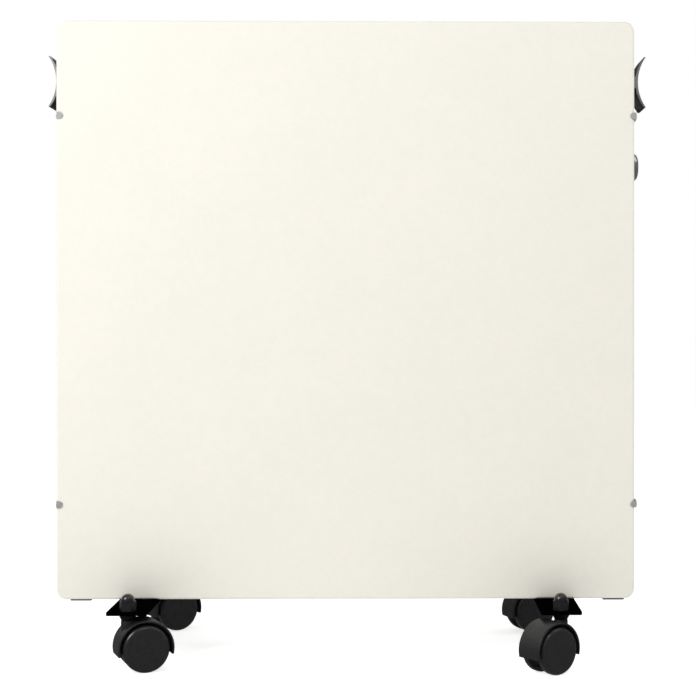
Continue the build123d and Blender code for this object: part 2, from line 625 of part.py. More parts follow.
def switch_rocker():
    """A rocker with a shallow valley in its face, at rest with its lower half pressed in."""
    face = [(ROCKER_VALLEY, 0), (ROCKER_CREST, ROCKER_HALF_LENGTH)]
    back = [(-ROCKER_BACK, ROCKER_HALF_LENGTH - 0.6), (-ROCKER_BACK, 0.6 - ROCKER_HALF_LENGTH)]
    outline = Polyline(*face, *back, (ROCKER_CREST, -ROCKER_HALF_LENGTH), close=True)
    rocker = extrude(Plane.XZ * make_face(outline), ROCKER_HALF_WIDTH, both=True)
    rocker += rod_y(0, (-TRUNNION_END_Y, TRUNNION_END_Y), 0, TRUNNION_R)
    return Pos(SWITCH_PIVOT_X, 0, SWITCH_Z) * Rot(0, SWITCH_TILT, 0) * rocker


def cable_gland():
    flange_r, flange_height = GLAND_FLANGE
    flange_x = (CHANNEL_X, CHANNEL_X + flange_height)
    gland = rod_x(flange_x, 0, GLAND_Z, flange_r)
    gland = fillet(gland.edges().sort_by(Axis.X)[-1], 0.8)
    nose_height = GLAND_X[1] - flange_x[1]
    nose = Cone(GLAND_NOSE_R[1], GLAND_NOSE_R[0], nose_height)
    gland += Pos(flange_x[1] + nose_height / 2, 0, GLAND_Z) * Rot(0, 90, 0) * nose
    gland += rod_x((GLAND_X[0], CHANNEL_X), 0, GLAND_Z, GLAND_THREAD_R)
    return gland - rod_x((GLAND_X[0] - 1, GLAND_X[1] + 1), 0, GLAND_Z, GLAND_BORE_R)


def gland_nut():
    nut = Rot(0, 90, 0) * hex_prism(GLAND_NUT_FLATS, GLAND_NUT_HEIGHT)
    nut -= rod_x((-1, GLAND_NUT_HEIGHT + 1), 0, 0, GLAND_THREAD_R + RUNNING_GAP)
    return Pos(WEB_X - GLAND_NUT_HEIGHT, 0, GLAND_Z) * nut


# Storage core


def element_run(radius):
    """Legs along X joined by half circles, in the plane between the two layers of bricks."""
    half = ELEMENT_PITCH / 2
    path = []
    for leg in range(ELEMENT_LEGS):
        z = ELEMENT_FIRST_Z + leg * ELEMENT_PITCH
        to_left = leg % 2 == 0
        outermost = leg in (0, ELEMENT_LEGS - 1)
        left = (ELEMENT_BEND_X[0], 0, z)
        right = (ELEMENT_END_X if outermost else ELEMENT_BEND_X[1], 0, z)
        path.append(Line(right, left) if to_left else Line(left, right))
        if leg < ELEMENT_LEGS - 1:
            x = ELEMENT_BEND_X[0] if to_left else ELEMENT_BEND_X[1]
            bulge = x - half if to_left else x + half
            path.append(ThreePointArc((x, 0, z), (bulge, 0, z + half), (x, 0, z + ELEMENT_PITCH)))
    start = Plane(origin=(ELEMENT_END_X, 0, ELEMENT_FIRST_Z), z_dir=(-1, 0, 0))
    return sweep(start * Circle(radius), Wire([edge for piece in path for edge in piece.edges()]))


def heating_element():
    element = element_run(ELEMENT_R)
    for z in ELEMENT_Z:
        element += rod_x((ELEMENT_END_X - 1, ELEMENT_END_X + PIN_LENGTH), 0, z, PIN_R)
    return element


def element_bushings():
    bushings = [rod_x(BUSHING_X, 0, z, BUSHING_R) for z in ELEMENT_Z]
    bores = [rod_x((BUSHING_X[0] - 1, BUSHING_X[1] + 1), 0, z, ELEMENT_R + RUNNING_GAP) for z in ELEMENT_Z]
    return [bushing - bore for bushing, bore in zip(bushings, bores)]


def front_storage_bricks(groove):
    """A wall of grooved bricks: each holds half the depth of the element."""
    width = (CORE_X[1] - CORE_X[0]) / BRICK_COLUMNS
    height = (CORE_Z[1] - CORE_Z[0]) / BRICK_ROWS
    layer_y = (-CORE_HALF_DEPTH, -LAYER_GAP / 2)
    bricks = []
    for column in range(BRICK_COLUMNS):
        for row in range(BRICK_ROWS):
            low_x = CORE_X[0] + column * width
            low_z = CORE_Z[0] + row * height
            brick_x = (low_x, low_x + width - BRICK_GAP)
            brick_z = (low_z, low_z + height - (0 if row == BRICK_ROWS - 1 else BRICK_GAP))
            bricks.append(block(brick_x, layer_y, brick_z) - groove)
    return bricks


def lower_core_rail():
    """A tray under the bricks, screwed to the left channel and to the heat shield."""
    floor_z = (CORE_Z[0] - SHEET, CORE_Z[0])
    lip_z = (floor_z[0], CORE_Z[0] + RAIL_DEPTH)
    rail = block((RAIL_END_X, SHIELD_X), (-RAIL_HALF_Y, RAIL_HALF_Y), floor_z)
    for y in (-RAIL_HALF_Y, RAIL_HALF_Y - SHEET):
        rail += block((RAIL_END_X, SHIELD_X - BOARD_THICK), (y, y + SHEET), lip_z)
    rail += block((SHIELD_X - SHEET, SHIELD_X), (-RAIL_HALF_Y, RAIL_HALF_Y), lip_z)
    tab_y = (RAIL_TAB[0], RAIL_HALF_Y)
    rail += block((-WEB_X, RAIL_END_X), tab_y, floor_z)
    rail += block((-WEB_X, -WEB_X + SHEET), tab_y, (floor_z[0], floor_z[0] + RAIL_TAB[1]))
    for x in ((-WEB_X - 1, RAIL_END_X), (SHIELD_X - SHEET - 1, SHIELD_X + 1)):
        rail -= rod_x(x, RAIL_SCREW_Y, RAIL_SCREW_Z[0], M4[2] + HOLE_GAP)
    return rail


# Wiring space


def heat_shield():
    """A sheet between core and wiring, with a foot below and a foot above."""
    span_y = (-SHIELD_HALF_Y, SHIELD_HALF_Y)
    span_z = (BOTTOM_PLATE_Z[1], TOP_PLATE_Z[0])
    shield = block((SHIELD_X, SHIELD_FACE_X), span_y, span_z)
    feet_x = (SHIELD_X, SHIELD_X + SHIELD_FLANGE)
    shield += block(feet_x, span_y, (span_z[0], span_z[0] + SHIELD_SHEET))
    shield += block(feet_x, span_y, (span_z[1] - SHIELD_SHEET, span_z[1]))
    shield -= rod_z(*SHIELD_SCREW, (0, CHANNEL_Z[1]), M4[2] + HOLE_GAP)
    through_x = (SHIELD_X - 1, SHIELD_FACE_X + 1)
    shield -= [rod_x(through_x, 0, z, BUSHING_R + HOLE_GAP) for z in ELEMENT_Z]
    return shield - [rod_x(through_x, RAIL_SCREW_Y, z, M4[2] + HOLE_GAP) for z in RAIL_SCREW_Z]


def insulation_board():
    board = block((SHIELD_X - BOARD_THICK, SHIELD_X), (-BOARD_HALF_Y, BOARD_HALF_Y), BOARD_Z)
    through_x = (SHIELD_X - BOARD_THICK - 1, SHIELD_X + 1)
    return board - [rod_x(through_x, 0, z, BUSHING_R + HOLE_GAP) for z in ELEMENT_Z]


def thermal_cutout():
    base = rod_x((SHIELD_FACE_X, CUTOUT_X[0]), 0, CUTOUT_Z, CUTOUT_R[0])
    return base + rod_x(CUTOUT_X, 0, CUTOUT_Z, CUTOUT_R[1])


def terminal_block():
    """Three poles side by side, with a screw well in each and a groove between them."""
    body = block((TERMINAL_X, WEB_X), (-TERMINAL_HALF_Y, TERMINAL_HALF_Y), TERMINAL_Z)
    middle_z = sum(TERMINAL_Z) / 2
    for pole in (-1, 0, 1):
        body -= rod_x((TERMINAL_X - 1, TERMINAL_X + 4), pole * TERMINAL_PITCH, middle_z, 2.6)
    for y in (-TERMINAL_PITCH / 2, TERMINAL_PITCH / 2):
        body -= block((TERMINAL_X - 1, TERMINAL_X + 2), (y - 0.6, y + 0.6), (0, CHANNEL_Z[1]))
    return body


def earth_stud():
    y, z = EARTH_STUD
    nut_flats, nut_height = EARTH_NUT
    nut = Pos(WEB_X - nut_height, y, z) * Rot(0, 90, 0) * hex_prism(nut_flats, nut_height)
    return nut + rod_x((EARTH_STUD_X, CHANNEL_X), y, z, EARTH_STUD_R)


def internal_wires():
    """Mains to switch, switch to thermostat, on to the cut-out and the element, and the rest."""
    switch_y = -SWITCH_BODY[0]
    knob_low_z = KNOB_Z - THERMOSTAT_HALF
    knob_high_z = KNOB_Z + THERMOSTAT_HALF
    pole_y = -TERMINAL_PITCH - 1
    pin_z = (ELEMENT_Z[0] + PIN_R, ELEMENT_Z[1] - PIN_R)
    routes = [
        [(232, pole_y, TERMINAL_Z[1]), (232, pole_y, 376), (232, switch_y, 376)],
        [(232, switch_y, 384), (232, pole_y, 384), (232, pole_y, knob_low_z)],
        [(232, -3, knob_high_z), (232, -3, CUTOUT_Z), (CUTOUT_X[1], -3, CUTOUT_Z)],
        [(CUTOUT_X[1], 3, CUTOUT_Z), (228, 3, CUTOUT_Z), (228, 0, CUTOUT_Z + 9), (228, 0, pin_z[1])],
        [(228, 0, TERMINAL_Z[0]), (228, 0, pin_z[0])],
        [(231, EARTH_STUD[0], TERMINAL_Z[0]), (231, EARTH_STUD[0], EARTH_STUD[1] + EARTH_STUD_R)],
    ]
    return [round_run(route, WIRE_BEND, WIRE_R) for route in routes]


def write_slabs_and_frame():
    slab = front_slab()
    write("front_slab", slab)
    write("rear_slab", slab.mirror(Plane.XZ))
    write("slab_seals", *slab_seals())
    clips = front_clips()
    write("front_slab_clips", *clips)
    write("rear_slab_clips", *[clip.mirror(Plane.XZ) for clip in clips])
    write("clip_screws", *clip_screws())
    write("left_channel", left_channel())
    write("right_channel", right_channel())
    write("top_grille", top_grille())
    write("bottom_grille", bottom_grille())
    write("grille_brackets", *grille_brackets())
    write("m4_screws", *m4_screws())
    handle = right_handle()
    write("right_handle", handle)
    write("left_handle", handle.mirror(Plane.YZ))
    write("handle_screws", *handle_screws())


def write_castors():
    write("left_castor_bar", castor_bar(-BAR_X))
    write("right_castor_bar", castor_bar(BAR_X))
    write("bar_bolts", *bar_bolts())
    write("bar_nuts", *bar_nuts())
    write("castor_stems", *at_stems(castor_stem()))
    write("cap_nuts", *at_stems(cap_nut()))
    hood = castor_hood()
    axle = castor_axle()
    wheel = castor_wheel()
    for name, (x, y, heading, nut_turn) in CASTORS.items():
        place = Pos(x, y, 0) * Rot(0, 0, heading)
        write(f"{name}_castor_hood", place * hood)
        write(f"{name}_castor_axle", place * axle)
        write(f"{name}_wheel_a", place * wheel)
        write(f"{name}_wheel_b", place * wheel.mirror(Plane.XZ))


def write_controls():
    write("thermostat_knob", thermostat_knob())
    write("thermostat_shaft", rod_x(SHAFT_X, 0, KNOB_Z, SHAFT_R))
    write("dial_plate", dial_plate())
    write("thermostat_body", thermostat_body())
    write("thermostat_screws", *thermostat_screws())
    write("sensor_bulb", sensor_bulb())
    write("switch_housing", switch_housing())
    write("switch_rocker", switch_rocker())
    write("cable_gland", cable_gland())
    write("gland_nut", gland_nut())


def write_core_and_wiring():
    bricks = front_storage_bricks(element_run(GROOVE_R))
    write("front_storage_bricks", *bricks)
    write("rear_storage_bricks", *[brick.mirror(Plane.XZ) for brick in bricks])
    write("heating_element", heating_element())
    write("element_bushings", *element_bushings())
    rail = lower_core_rail()
    write("lower_core_rail", rail)
    write("upper_core_rail", rail.mirror(Plane.XY.offset(sum(CORE_Z) / 2)))
    write("heat_shield", heat_shield())
    write("insulation_board", insulation_board())
    write("thermal_cutout", thermal_cutout())
    write("terminal_block", terminal_block())
    write("earth_stud", earth_stud())
    write("internal_wires", *internal_wires())


os.makedirs("parts", exist_ok=True)
write_slabs_and_frame()
write_castors()
write_controls()
write_core_and_wiring()
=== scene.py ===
import math

import bmesh
import bpy
from mathutils import Matrix, Vector


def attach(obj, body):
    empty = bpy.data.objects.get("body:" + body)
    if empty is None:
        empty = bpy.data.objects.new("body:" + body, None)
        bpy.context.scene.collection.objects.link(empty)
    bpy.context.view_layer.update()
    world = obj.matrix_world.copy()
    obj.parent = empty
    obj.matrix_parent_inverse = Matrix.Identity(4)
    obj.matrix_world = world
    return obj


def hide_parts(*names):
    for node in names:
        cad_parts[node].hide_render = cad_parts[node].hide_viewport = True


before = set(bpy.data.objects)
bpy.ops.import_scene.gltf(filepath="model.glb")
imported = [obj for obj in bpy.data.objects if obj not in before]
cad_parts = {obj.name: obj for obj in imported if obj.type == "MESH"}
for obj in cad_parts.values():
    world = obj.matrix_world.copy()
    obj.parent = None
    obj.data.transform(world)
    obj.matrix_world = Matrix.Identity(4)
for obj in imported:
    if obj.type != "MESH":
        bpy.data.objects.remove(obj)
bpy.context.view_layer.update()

# Sizes are in mm and match the solids. A finished mesh is scaled to metres.
MM = 0.001

# How near counts as the same place, and the angle in degrees above which an edge stays sharp
WELD = 0.0001
CLOSE = 0.001
NEAR = 0.01
SHARP_ANGLE = 35.0

CABINET = "cabinet"

# Slabs
SLAB_SIDE = 500.0
SLAB_X = -1.0
SLAB_THICK = 13.0
SLAB_CORNER_R = 9.0
SLAB_FACE_EDGE_R = 2.2
SLAB_BACK_EDGE_R = 0.8
SLAB_FACE_Y = 34.0
SLAB_MIDDLE_Z = 300.5

# Slab clips
CLIP_Z = (132.5, 468.5)
CLIP_HEIGHT = 5.9
CLIP_SHEET = 0.9
CLIP_OUTER_X = (250.7, 251.8)  # at the slab's face and at its back
CLIP_TAB_X = 248.0
CLIP_NOTCH = (1.6, 6.5)  # depth and height
CLIP_LEG_Y = 17.8
CLIP_FOOT_END_Y = 7.5
CHANNEL_X = 242.0

# Handles
HANDLE_Z = 500.5
HANDLE_DEPTH = 36.0
HANDLE_HALF_HEIGHT = 22.0
HANDLE_TIP_X = (259.7, 261.3)  # inner and outer face of the plate, at its tips
HANDLE_MID_X = (252.2, 254.4)  # the same at mid height
HANDLE_WEB = 9.6
HANDLE_FLARE_R = 3.0
HANDLE_ARC_STEPS = 28

# Castor bars, stems and nuts
BAR_X = 179.75
BAR_WIDTH = 33.8
BAR_LENGTH = 185.8
BAR_Z = (47.5, 50.5)
BAR_CORNER_R = 1.5
STEM_Y = 85.0
STEM_R = 4.0
STEM_Z = (25.0, 61.0)
COLLAR_Z = (42.8, 47.5)
COLLAR_R = (5.2, 7.7)  # below and above
NUT_FLATS = 12.2
NUT_HEX_HEIGHT = 8.0
NUT_CHAMFER_FROM_R = 6.2
NUT_DOME_R = 5.7
NUT_HEIGHT = 14.2

# Castors: where each stem stands, which way it trails at rest, and how far its cap nut is turned
CASTORS = {
    "front_left": (-BAR_X, -STEM_Y, 21.9, -3.6),
    "front_right": (BAR_X, -STEM_Y, 217.9, 18.5),
    "rear_left": (-BAR_X, STEM_Y, 36.0, 17.0),
    "rear_right": (BAR_X, STEM_Y, 202.6, -11.0),
}
TRAIL = 13.1
AXLE_Z = 19.7
WHEEL_R = 19.7
WHEEL_EDGE_R = 4.0
WHEEL_Y = (6.2, 13.9)
WHEEL_DISH = 5.0
WHEEL_BORE_R = 2.55
WHEEL_HUB_R = 5.0
WHEEL_RIM_INNER_R = 16.5
WHEEL_FLAT_R = 14.0
WHEEL_HOLLOW = 0.12
WHEEL_COVER = 1.2
HOOD_R = (22.0, 23.6)  # inside and outside
HOOD_HALF_WIDTH = 12.3
HOOD_BOTTOM_Z = 14.4
HOOD_HALF_WEB = 2.0
HOOD_BORE_R = 2.55
BOSS_R = 5.7
BOSS_Z = (21.0, 42.6)

# Thermostat, switch and inlet
KNOB_Z = 427.5
KNOB_X = (243.0, 256.6)
KNOB_R = 12.5
KNOB_BORE_R = 3.01
KNOB_BORE_COVER = 3.3
KNOB_HUB_R = 4.6
KNOB_HOLLOW_R = 11.0
KNOB_HOLLOW_DEPTH = 4.5
KNOB_CROWN_R = 4.0
KNOB_DROP = (0.08, 0.3)  # how far the face falls, at the crown's edge and at the rim
KNOB_SHOULDER_R = 5.0
POINTER_END_R = 2.5
POINTER_HALF_WIDTH = 0.6
POINTER_DEPTH = 0.8
DIAL_FACE_X = 242.8
DIAL_STEP = 45
DIAL_NUMBERS = 7
DIAL_TICK_R = (13.2, 14.2)
DIAL_TICK_HALF_WIDTH = 0.2
DIAL_NUMBER_R = 16.4
DIAL_NUMBER_SIZE = 3.4
PRINT_THICK = 0.06
SWITCH_Z = 380.0
SWITCH_PIVOT_X = 241.5
SWITCH_TILT = 8.0
BEZEL_HALF = (7.5, 10.5)
BEZEL_THICK = 1.8
BEZEL_CORNER_R = 1.0
BEZEL_RIM_R = 0.5
SWITCH_BODY_HALF = (6.5, 9.5)
SWITCH_BODY_DEPTH = 17.5
POCKET_HALF = (5.6, 8.8)
POCKET_DEPTH = 5.0
ROCKER_HALF_WIDTH = 5.3
ROCKER_HALF_LENGTH = 7.6
ROCKER_BACK_HALF_LENGTH = 7.0
ROCKER_VALLEY = 2.6
ROCKER_VALLEY_R = 2.5
ROCKER_CREST = 3.7
ROCKER_BACK = 2.0
ROCKER_PIN = (1.0, 6.1)  # radius and half length
ROCKER_MARK_OFFSET = 4.2
ROCKER_STROKE_HALF = (0.35, 1.5)
ROCKER_RING_R = (1.1, 1.6)
GLAND_Z = 80.0
GLAND_X = (230.5, 248.5)
GLAND_BORE_R = 4.2
GLAND_THREAD_R = 7.0
GLAND_FLANGE_R = 10.0
GLAND_FLANGE_THICK = 2.5
GLAND_NOSE_R = (8.5, 6.8)  # at the flange and at the end
GLAND_GRIPS = 12
GLAND_GRIP_R = 0.6


# Shaping


def box(x, y, z):
    """A block between a low and a high value on each axis."""
    bm = bmesh.new()
    size = (x[1] - x[0], y[1] - y[0], z[1] - z[0])
    middle = (sum(x) / 2, sum(y) / 2, sum(z) / 2)
    place = Matrix.Translation(middle) @ Matrix.Diagonal((*size, 1))
    bmesh.ops.create_cube(bm, size=1.0, matrix=place)
    return bm


def round_edges(bm, edges, width, segments):
    bmesh.ops.bevel(
        bm, geom=edges, offset=width, offset_type="OFFSET", segments=segments,
        profile=0.5, affect="EDGES", material=-1,
    )


def added_verts(grown):
    """The vertices among what an extrusion has made."""
    return [part for part in grown if isinstance(part, bmesh.types.BMVert)]


def edges_along(bm, axis):
    """The edges that run along one axis: 0 is X, 1 is Y and 2 is Z."""
    found = []
    for edge in bm.edges:
        run = edge.verts[1].co - edge.verts[0].co
        if abs(run[axis]) > 0.999 * run.length:
            found.append(edge)
    return found


def on_circle(vert, radius, height):
    """Whether a vertex lies on a circle about the Z axis."""
    return abs(vert.co.xy.length - radius) < CLOSE and abs(vert.co.z - height) < CLOSE


def turned(outline, rounded=(), steps=64, closed=False):
    """Turns an outline of (radius, height) pairs about the Z axis, then rounds some of its rings.

    A rounding is a point's place in the outline, a width and a number of segments.
    """
    bm = bmesh.new()
    verts = [bm.verts.new((radius, 0, height)) for radius, height in outline]
    pairs = list(zip(verts, verts[1:])) + ([(verts[-1], verts[0])] if closed else [])
    edges = [bm.edges.new(pair) for pair in pairs]
    bmesh.ops.spin(
        bm, geom=verts + edges, cent=(0, 0, 0), axis=(0, 0, 1),
        angle=2 * math.pi, steps=steps, use_merge=True,
    )
    bmesh.ops.remove_doubles(bm, verts=bm.verts, dist=WELD)
    for index, width, segments in rounded:
        radius, height = outline[index]
        ring = [edge for edge in bm.edges if all(on_circle(v, radius, height) for v in edge.verts)]
        round_edges(bm, ring, width, segments)
    bmesh.ops.recalc_face_normals(bm, faces=bm.faces)
    return bm


def placed(bm, *moves):
    """Moves a shape by the given matrices, the first of them last."""
    place = Matrix.Identity(4)
    for move in moves:
        place = place @ move
    bmesh.ops.transform(bm, matrix=place, verts=bm.verts)
    if place.determinant() < 0:
        bmesh.ops.reverse_faces(bm, faces=bm.faces)
    return bm


def joined(*shapes):
    """Several shapes in one, each used up."""
    whole = bmesh.new()
    for shape in shapes:
        mesh = bpy.data.meshes.new("shape")
        shape.to_mesh(mesh)
        shape.free()
        whole.from_mesh(mesh)
        bpy.data.meshes.remove(mesh)
    return whole


def bare_object(bm):
    mesh = bpy.data.meshes.new("shape")
    bm.to_mesh(mesh)
    bm.free()
    shape = bpy.data.objects.new("shape", mesh)
    bpy.context.collection.objects.link(shape)
    return shape


def combined(bm, tool, operation):
    """The union or difference of two closed shapes, both used up."""
    blank = bare_object(bm)
    cutter = bare_object(tool)
    modifier = blank.modifiers.new("combine", "BOOLEAN")
    modifier.operation = operation
    modifier.solver = "EXACT"
    modifier.object = cutter
    ready = blank.evaluated_get(bpy.context.evaluated_depsgraph_get())
    result = bmesh.new()
    result.from_mesh(ready.to_mesh())
    for shape in (blank, cutter):
        mesh = shape.data
        bpy.data.objects.remove(shape)
        bpy.data.meshes.remove(mesh)
    return result


def at(x, y, z):
    return Matrix.Translation((x, y, z))


def turn(degrees, axis):
    return Matrix.Rotation(math.radians(degrees), 4, axis)


FACING_RIGHT = turn(90, "Y")
FACING_FRONT = turn(90, "X")
FACING_BACK = turn(-90, "X")
TO_LEFT_SIDE = Matrix.Diagonal((-1, 1, 1, 1))
TO_REAR_SIDE = Matrix.Diagonal((1, -1, 1, 1))

# Turns a drawing in the XY plane to face out of the right side, its X towards the back
FACE_OUT = Matrix(((0, 0, 1, 0), (1, 0, 0, 0), (0, 1, 0, 0), (0, 0, 0, 1)))


def piece(name, bm, finishes, body, replaced=(), sharp_above=SHARP_ANGLE, edge=0.0):
    """Makes a named piece of the heater from a shape in mm, its edges broken by the given width."""
    bmesh.ops.scale(bm, vec=(MM, MM, MM), verts=bm.verts)
    mesh = bpy.data.meshes.new(name)
    bm.to_mesh(mesh)
    bm.free()
    mesh.shade_smooth()
    mesh.set_sharp_from_angle(angle=math.radians(sharp_above))
    made = bpy.data.objects.new(name, mesh)
    bpy.context.collection.objects.link(made)
    for finish in finishes:
        mesh.materials.append(finish)
    if edge:
        bevel = made.modifiers.new("Broken edges", "BEVEL")
        bevel.width = edge * MM
        bevel.segments = 2
        bevel.limit_method = "ANGLE"
        bevel.angle_limit = math.radians(SHARP_ANGLE)
        bevel.use_clamp_overlap = True
    shading = made.modifiers.new("Flat faces", "WEIGHTED_NORMAL")
    shading.keep_sharp = True
    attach(made, body)
    if replaced:
        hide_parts(*replaced)


# Finishes


def new_node(tree, kind, settings=None, sockets=None):
    """A node with its own options and the plain values of its inputs."""
    node = tree.nodes.new(kind)
    for option, value in (settings or {}).items():
        setattr(node, option, value)
    for socket, value in (sockets or {}).items():
        node.inputs[socket].default_value = value
    return node


def new_group(name, inputs, outputs):
    """An empty shader group with named sockets, and its inner ends."""
    tree = bpy.data.node_groups.new(name, "ShaderNodeTree")
    for label, kind, value in inputs:
        socket = tree.interface.new_socket(name=label, in_out="INPUT", socket_type=kind)
        socket.default_value = value
    for label, kind in outputs:
        tree.interface.new_socket(name=label, in_out="OUTPUT", socket_type=kind)
    return tree, tree.nodes.new("NodeGroupInput"), tree.nodes.new("NodeGroupOutput")


FLOAT = "NodeSocketFloat"
COLOR = "NodeSocketColor"
VECTOR = "NodeSocketVector"

WHITE = (1, 1, 1, 1)
BLACK = (0, 0, 0, 1)

# Places of the colour sockets of a Mix node
MIX_FIRST = 6
MIX_SECOND = 7
MIX_RESULT = 2

# The noise textures mostly keep between these values
NOISE_SPAN = {"From Min": 0.3, "From Max": 0.7}

# How much of a speck's radius has its full tone, and how strongly the ceramic's flecks show
SPECK_CORE = 0.6
FLECK_STRENGTH = 0.5

# The size of the clouds of tone on bare metal
METAL_CLOUD_MM = 25.0


def scale_from_size(tree, size_socket):
    """Turns a feature size in mm into a texture scale per metre."""
    divide = new_node(tree, "ShaderNodeMath", {"operation": "DIVIDE"}, {0: 1000.0})
    tree.links.new(size_socket, divide.inputs[1])
    return divide.outputs[0]


def spread_noise(tree, noise, given, out):
    """Puts out a noise between the Low and High of a group, and as it is for a height."""
    spread = new_node(tree, "ShaderNodeMapRange", sockets=NOISE_SPAN)
    tree.links.new(noise.outputs[0], spread.inputs["Value"])
    tree.links.new(given.outputs["Low"], spread.inputs["To Min"])
    tree.links.new(given.outputs["High"], spread.inputs["To Max"])
    tree.links.new(spread.outputs["Result"], out.inputs["Value"])
    tree.links.new(noise.outputs[0], out.inputs["Height"])


def build_grain():
    """Fine even grain: a value and a height from noise of a given size."""
    tree, given, out = new_group(
        "Fine grain",
        [("Size mm", FLOAT, 0.5), ("Low", FLOAT, 0.4), ("High", FLOAT, 0.5)],
        [("Value", FLOAT), ("Height", FLOAT)],
    )
    where = new_node(tree, "ShaderNodeTexCoord")
    noise = new_node(tree, "ShaderNodeTexNoise", sockets={"Detail": 3.0, "Roughness": 0.6})
    tree.links.new(where.outputs["Object"], noise.inputs["Vector"])
    tree.links.new(scale_from_size(tree, given.outputs["Size mm"]), noise.inputs["Scale"])
    spread_noise(tree, noise, given, out)
    return tree


def build_clouds():
    """Two close tones that drift into each other in soft clouds."""
    tree, given, out = new_group(
        "Soft clouds",
        [("Size mm", FLOAT, 40.0), ("First Tone", COLOR, WHITE), ("Second Tone", COLOR, BLACK)],
        [("Color", COLOR)],
    )
    where = new_node(tree, "ShaderNodeTexCoord")
    pattern = {"Detail": 5.0, "Roughness": 0.55, "Distortion": 0.3}
    noise = new_node(tree, "ShaderNodeTexNoise", sockets=pattern)
    spread = new_node(tree, "ShaderNodeMapRange", {"interpolation_type": "SMOOTHSTEP"}, NOISE_SPAN)
    mix = new_node(tree, "ShaderNodeMix", {"data_type": "RGBA"})
    tree.links.new(where.outputs["Object"], noise.inputs["Vector"])
    tree.links.new(scale_from_size(tree, given.outputs["Size mm"]), noise.inputs["Scale"])
    tree.links.new(noise.outputs[0], spread.inputs["Value"])
    tree.links.new(spread.outputs["Result"], mix.inputs[0])
    tree.links.new(given.outputs["First Tone"], mix.inputs[MIX_FIRST])
    tree.links.new(given.outputs["Second Tone"], mix.inputs[MIX_SECOND])
    tree.links.new(mix.outputs[MIX_RESULT], out.inputs["Color"])
    return tree


def build_specks():
    """Small round specks scattered thinly: a mask that is 1 inside a speck."""
    tree, given, out = new_group(
        "Scattered specks",
        [("Spacing mm", FLOAT, 3.0), ("Speck Radius", FLOAT, 0.2), ("Share", FLOAT, 0.3)],
        [("Mask", FLOAT)],
    )
    where = new_node(tree, "ShaderNodeTexCoord")
    cells = new_node(tree, "ShaderNodeTexVoronoi")
    shrink = new_node(tree, "ShaderNodeMath", {"operation": "MULTIPLY"}, {1: SPECK_CORE})
    inside = new_node(tree, "ShaderNodeMapRange", sockets={"To Min": 1.0, "To Max": 0.0})
    pick = new_node(tree, "ShaderNodeSeparateColor")
    chosen = new_node(tree, "ShaderNodeMath", {"operation": "LESS_THAN"})
    both = new_node(tree, "ShaderNodeMath", {"operation": "MULTIPLY"})
    tree.links.new(where.outputs["Object"], cells.inputs["Vector"])
    tree.links.new(scale_from_size(tree, given.outputs["Spacing mm"]), cells.inputs["Scale"])
    tree.links.new(given.outputs["Speck Radius"], shrink.inputs[0])
    tree.links.new(cells.outputs["Distance"], inside.inputs["Value"])
    tree.links.new(shrink.outputs[0], inside.inputs["From Min"])
    tree.links.new(given.outputs["Speck Radius"], inside.inputs["From Max"])
    tree.links.new(cells.outputs["Color"], pick.inputs[0])
    tree.links.new(pick.outputs[0], chosen.inputs[0])
    tree.links.new(given.outputs["Share"], chosen.inputs[1])
    tree.links.new(inside.outputs["Result"], both.inputs[0])
    tree.links.new(chosen.outputs[0], both.inputs[1])
    tree.links.new(both.outputs[0], out.inputs["Mask"])
    return tree


def build_brushing():
    """Long fine lines left by brushing, rolling or drawing: noise squeezed across the lines."""
    tree, given, out = new_group(
        "Brushed lines",
        [("Squeeze", VECTOR, (1, 1, 1)), ("Low", FLOAT, 0.3), ("High", FLOAT, 0.45)],
        [("Value", FLOAT), ("Height", FLOAT)],
    )
    where = new_node(tree, "ShaderNodeTexCoord")
    squeeze = new_node(tree, "ShaderNodeVectorMath", {"operation": "MULTIPLY"})
    pattern = {"Scale": 1.0, "Detail": 2.0, "Roughness": 0.7}
    noise = new_node(tree, "ShaderNodeTexNoise", sockets=pattern)
    tree.links.new(where.outputs["Object"], squeeze.inputs[0])
    tree.links.new(given.outputs["Squeeze"], squeeze.inputs[1])
    tree.links.new(squeeze.outputs[0], noise.inputs["Vector"])
    spread_noise(tree, noise, given, out)
    return tree


GRAIN = build_grain()
CLOUDS = build_clouds()
SPECKS = build_specks()
BRUSHING = build_brushing()


def use_group(tree, group, sockets):
    node = tree.nodes.new("ShaderNodeGroup")
    node.node_tree = group
    for socket, value in sockets.items():
        node.inputs[socket].default_value = value
    return node


def clouds(tree, size_mm, first, second):
    """The colour of soft clouds between two tones."""
    sockets = {"Size mm": size_mm, "First Tone": (*first, 1.0), "Second Tone": (*second, 1.0)}
    return use_group(tree, CLOUDS, sockets).outputs["Color"]


def multiplied(tree, first, second):
    """One tone multiplied by another."""
    mix = new_node(tree, "ShaderNodeMix", {"data_type": "RGBA", "blend_type": "MULTIPLY"}, {0: 1.0})
    tree.links.new(first, mix.inputs[MIX_FIRST])
    tree.links.new(second, mix.inputs[MIX_SECOND])
    return mix.outputs[MIX_RESULT]


def flecked(tree, tone, fleck, mask):
    """A tone that gives way to a fleck's where the mask says."""
    mix = new_node(tree, "ShaderNodeMix", {"data_type": "RGBA"}, {MIX_SECOND: (*fleck, 1.0)})
    tree.links.new(mask, mix.inputs[0])
    tree.links.new(tone, mix.inputs[MIX_FIRST])
    return mix.outputs[MIX_RESULT]


def new_finish(name, **constants):
    """A material with one Principled shader, whose fixed values are set on its own sockets."""
    finish = bpy.data.materials.new(name)
    finish.use_nodes = True
    tree = finish.node_tree
    shader = tree.nodes["Principled BSDF"]
    for socket, value in constants.items():
        shader.inputs[socket.replace("_", " ")].default_value = value
    return finish, tree, shader


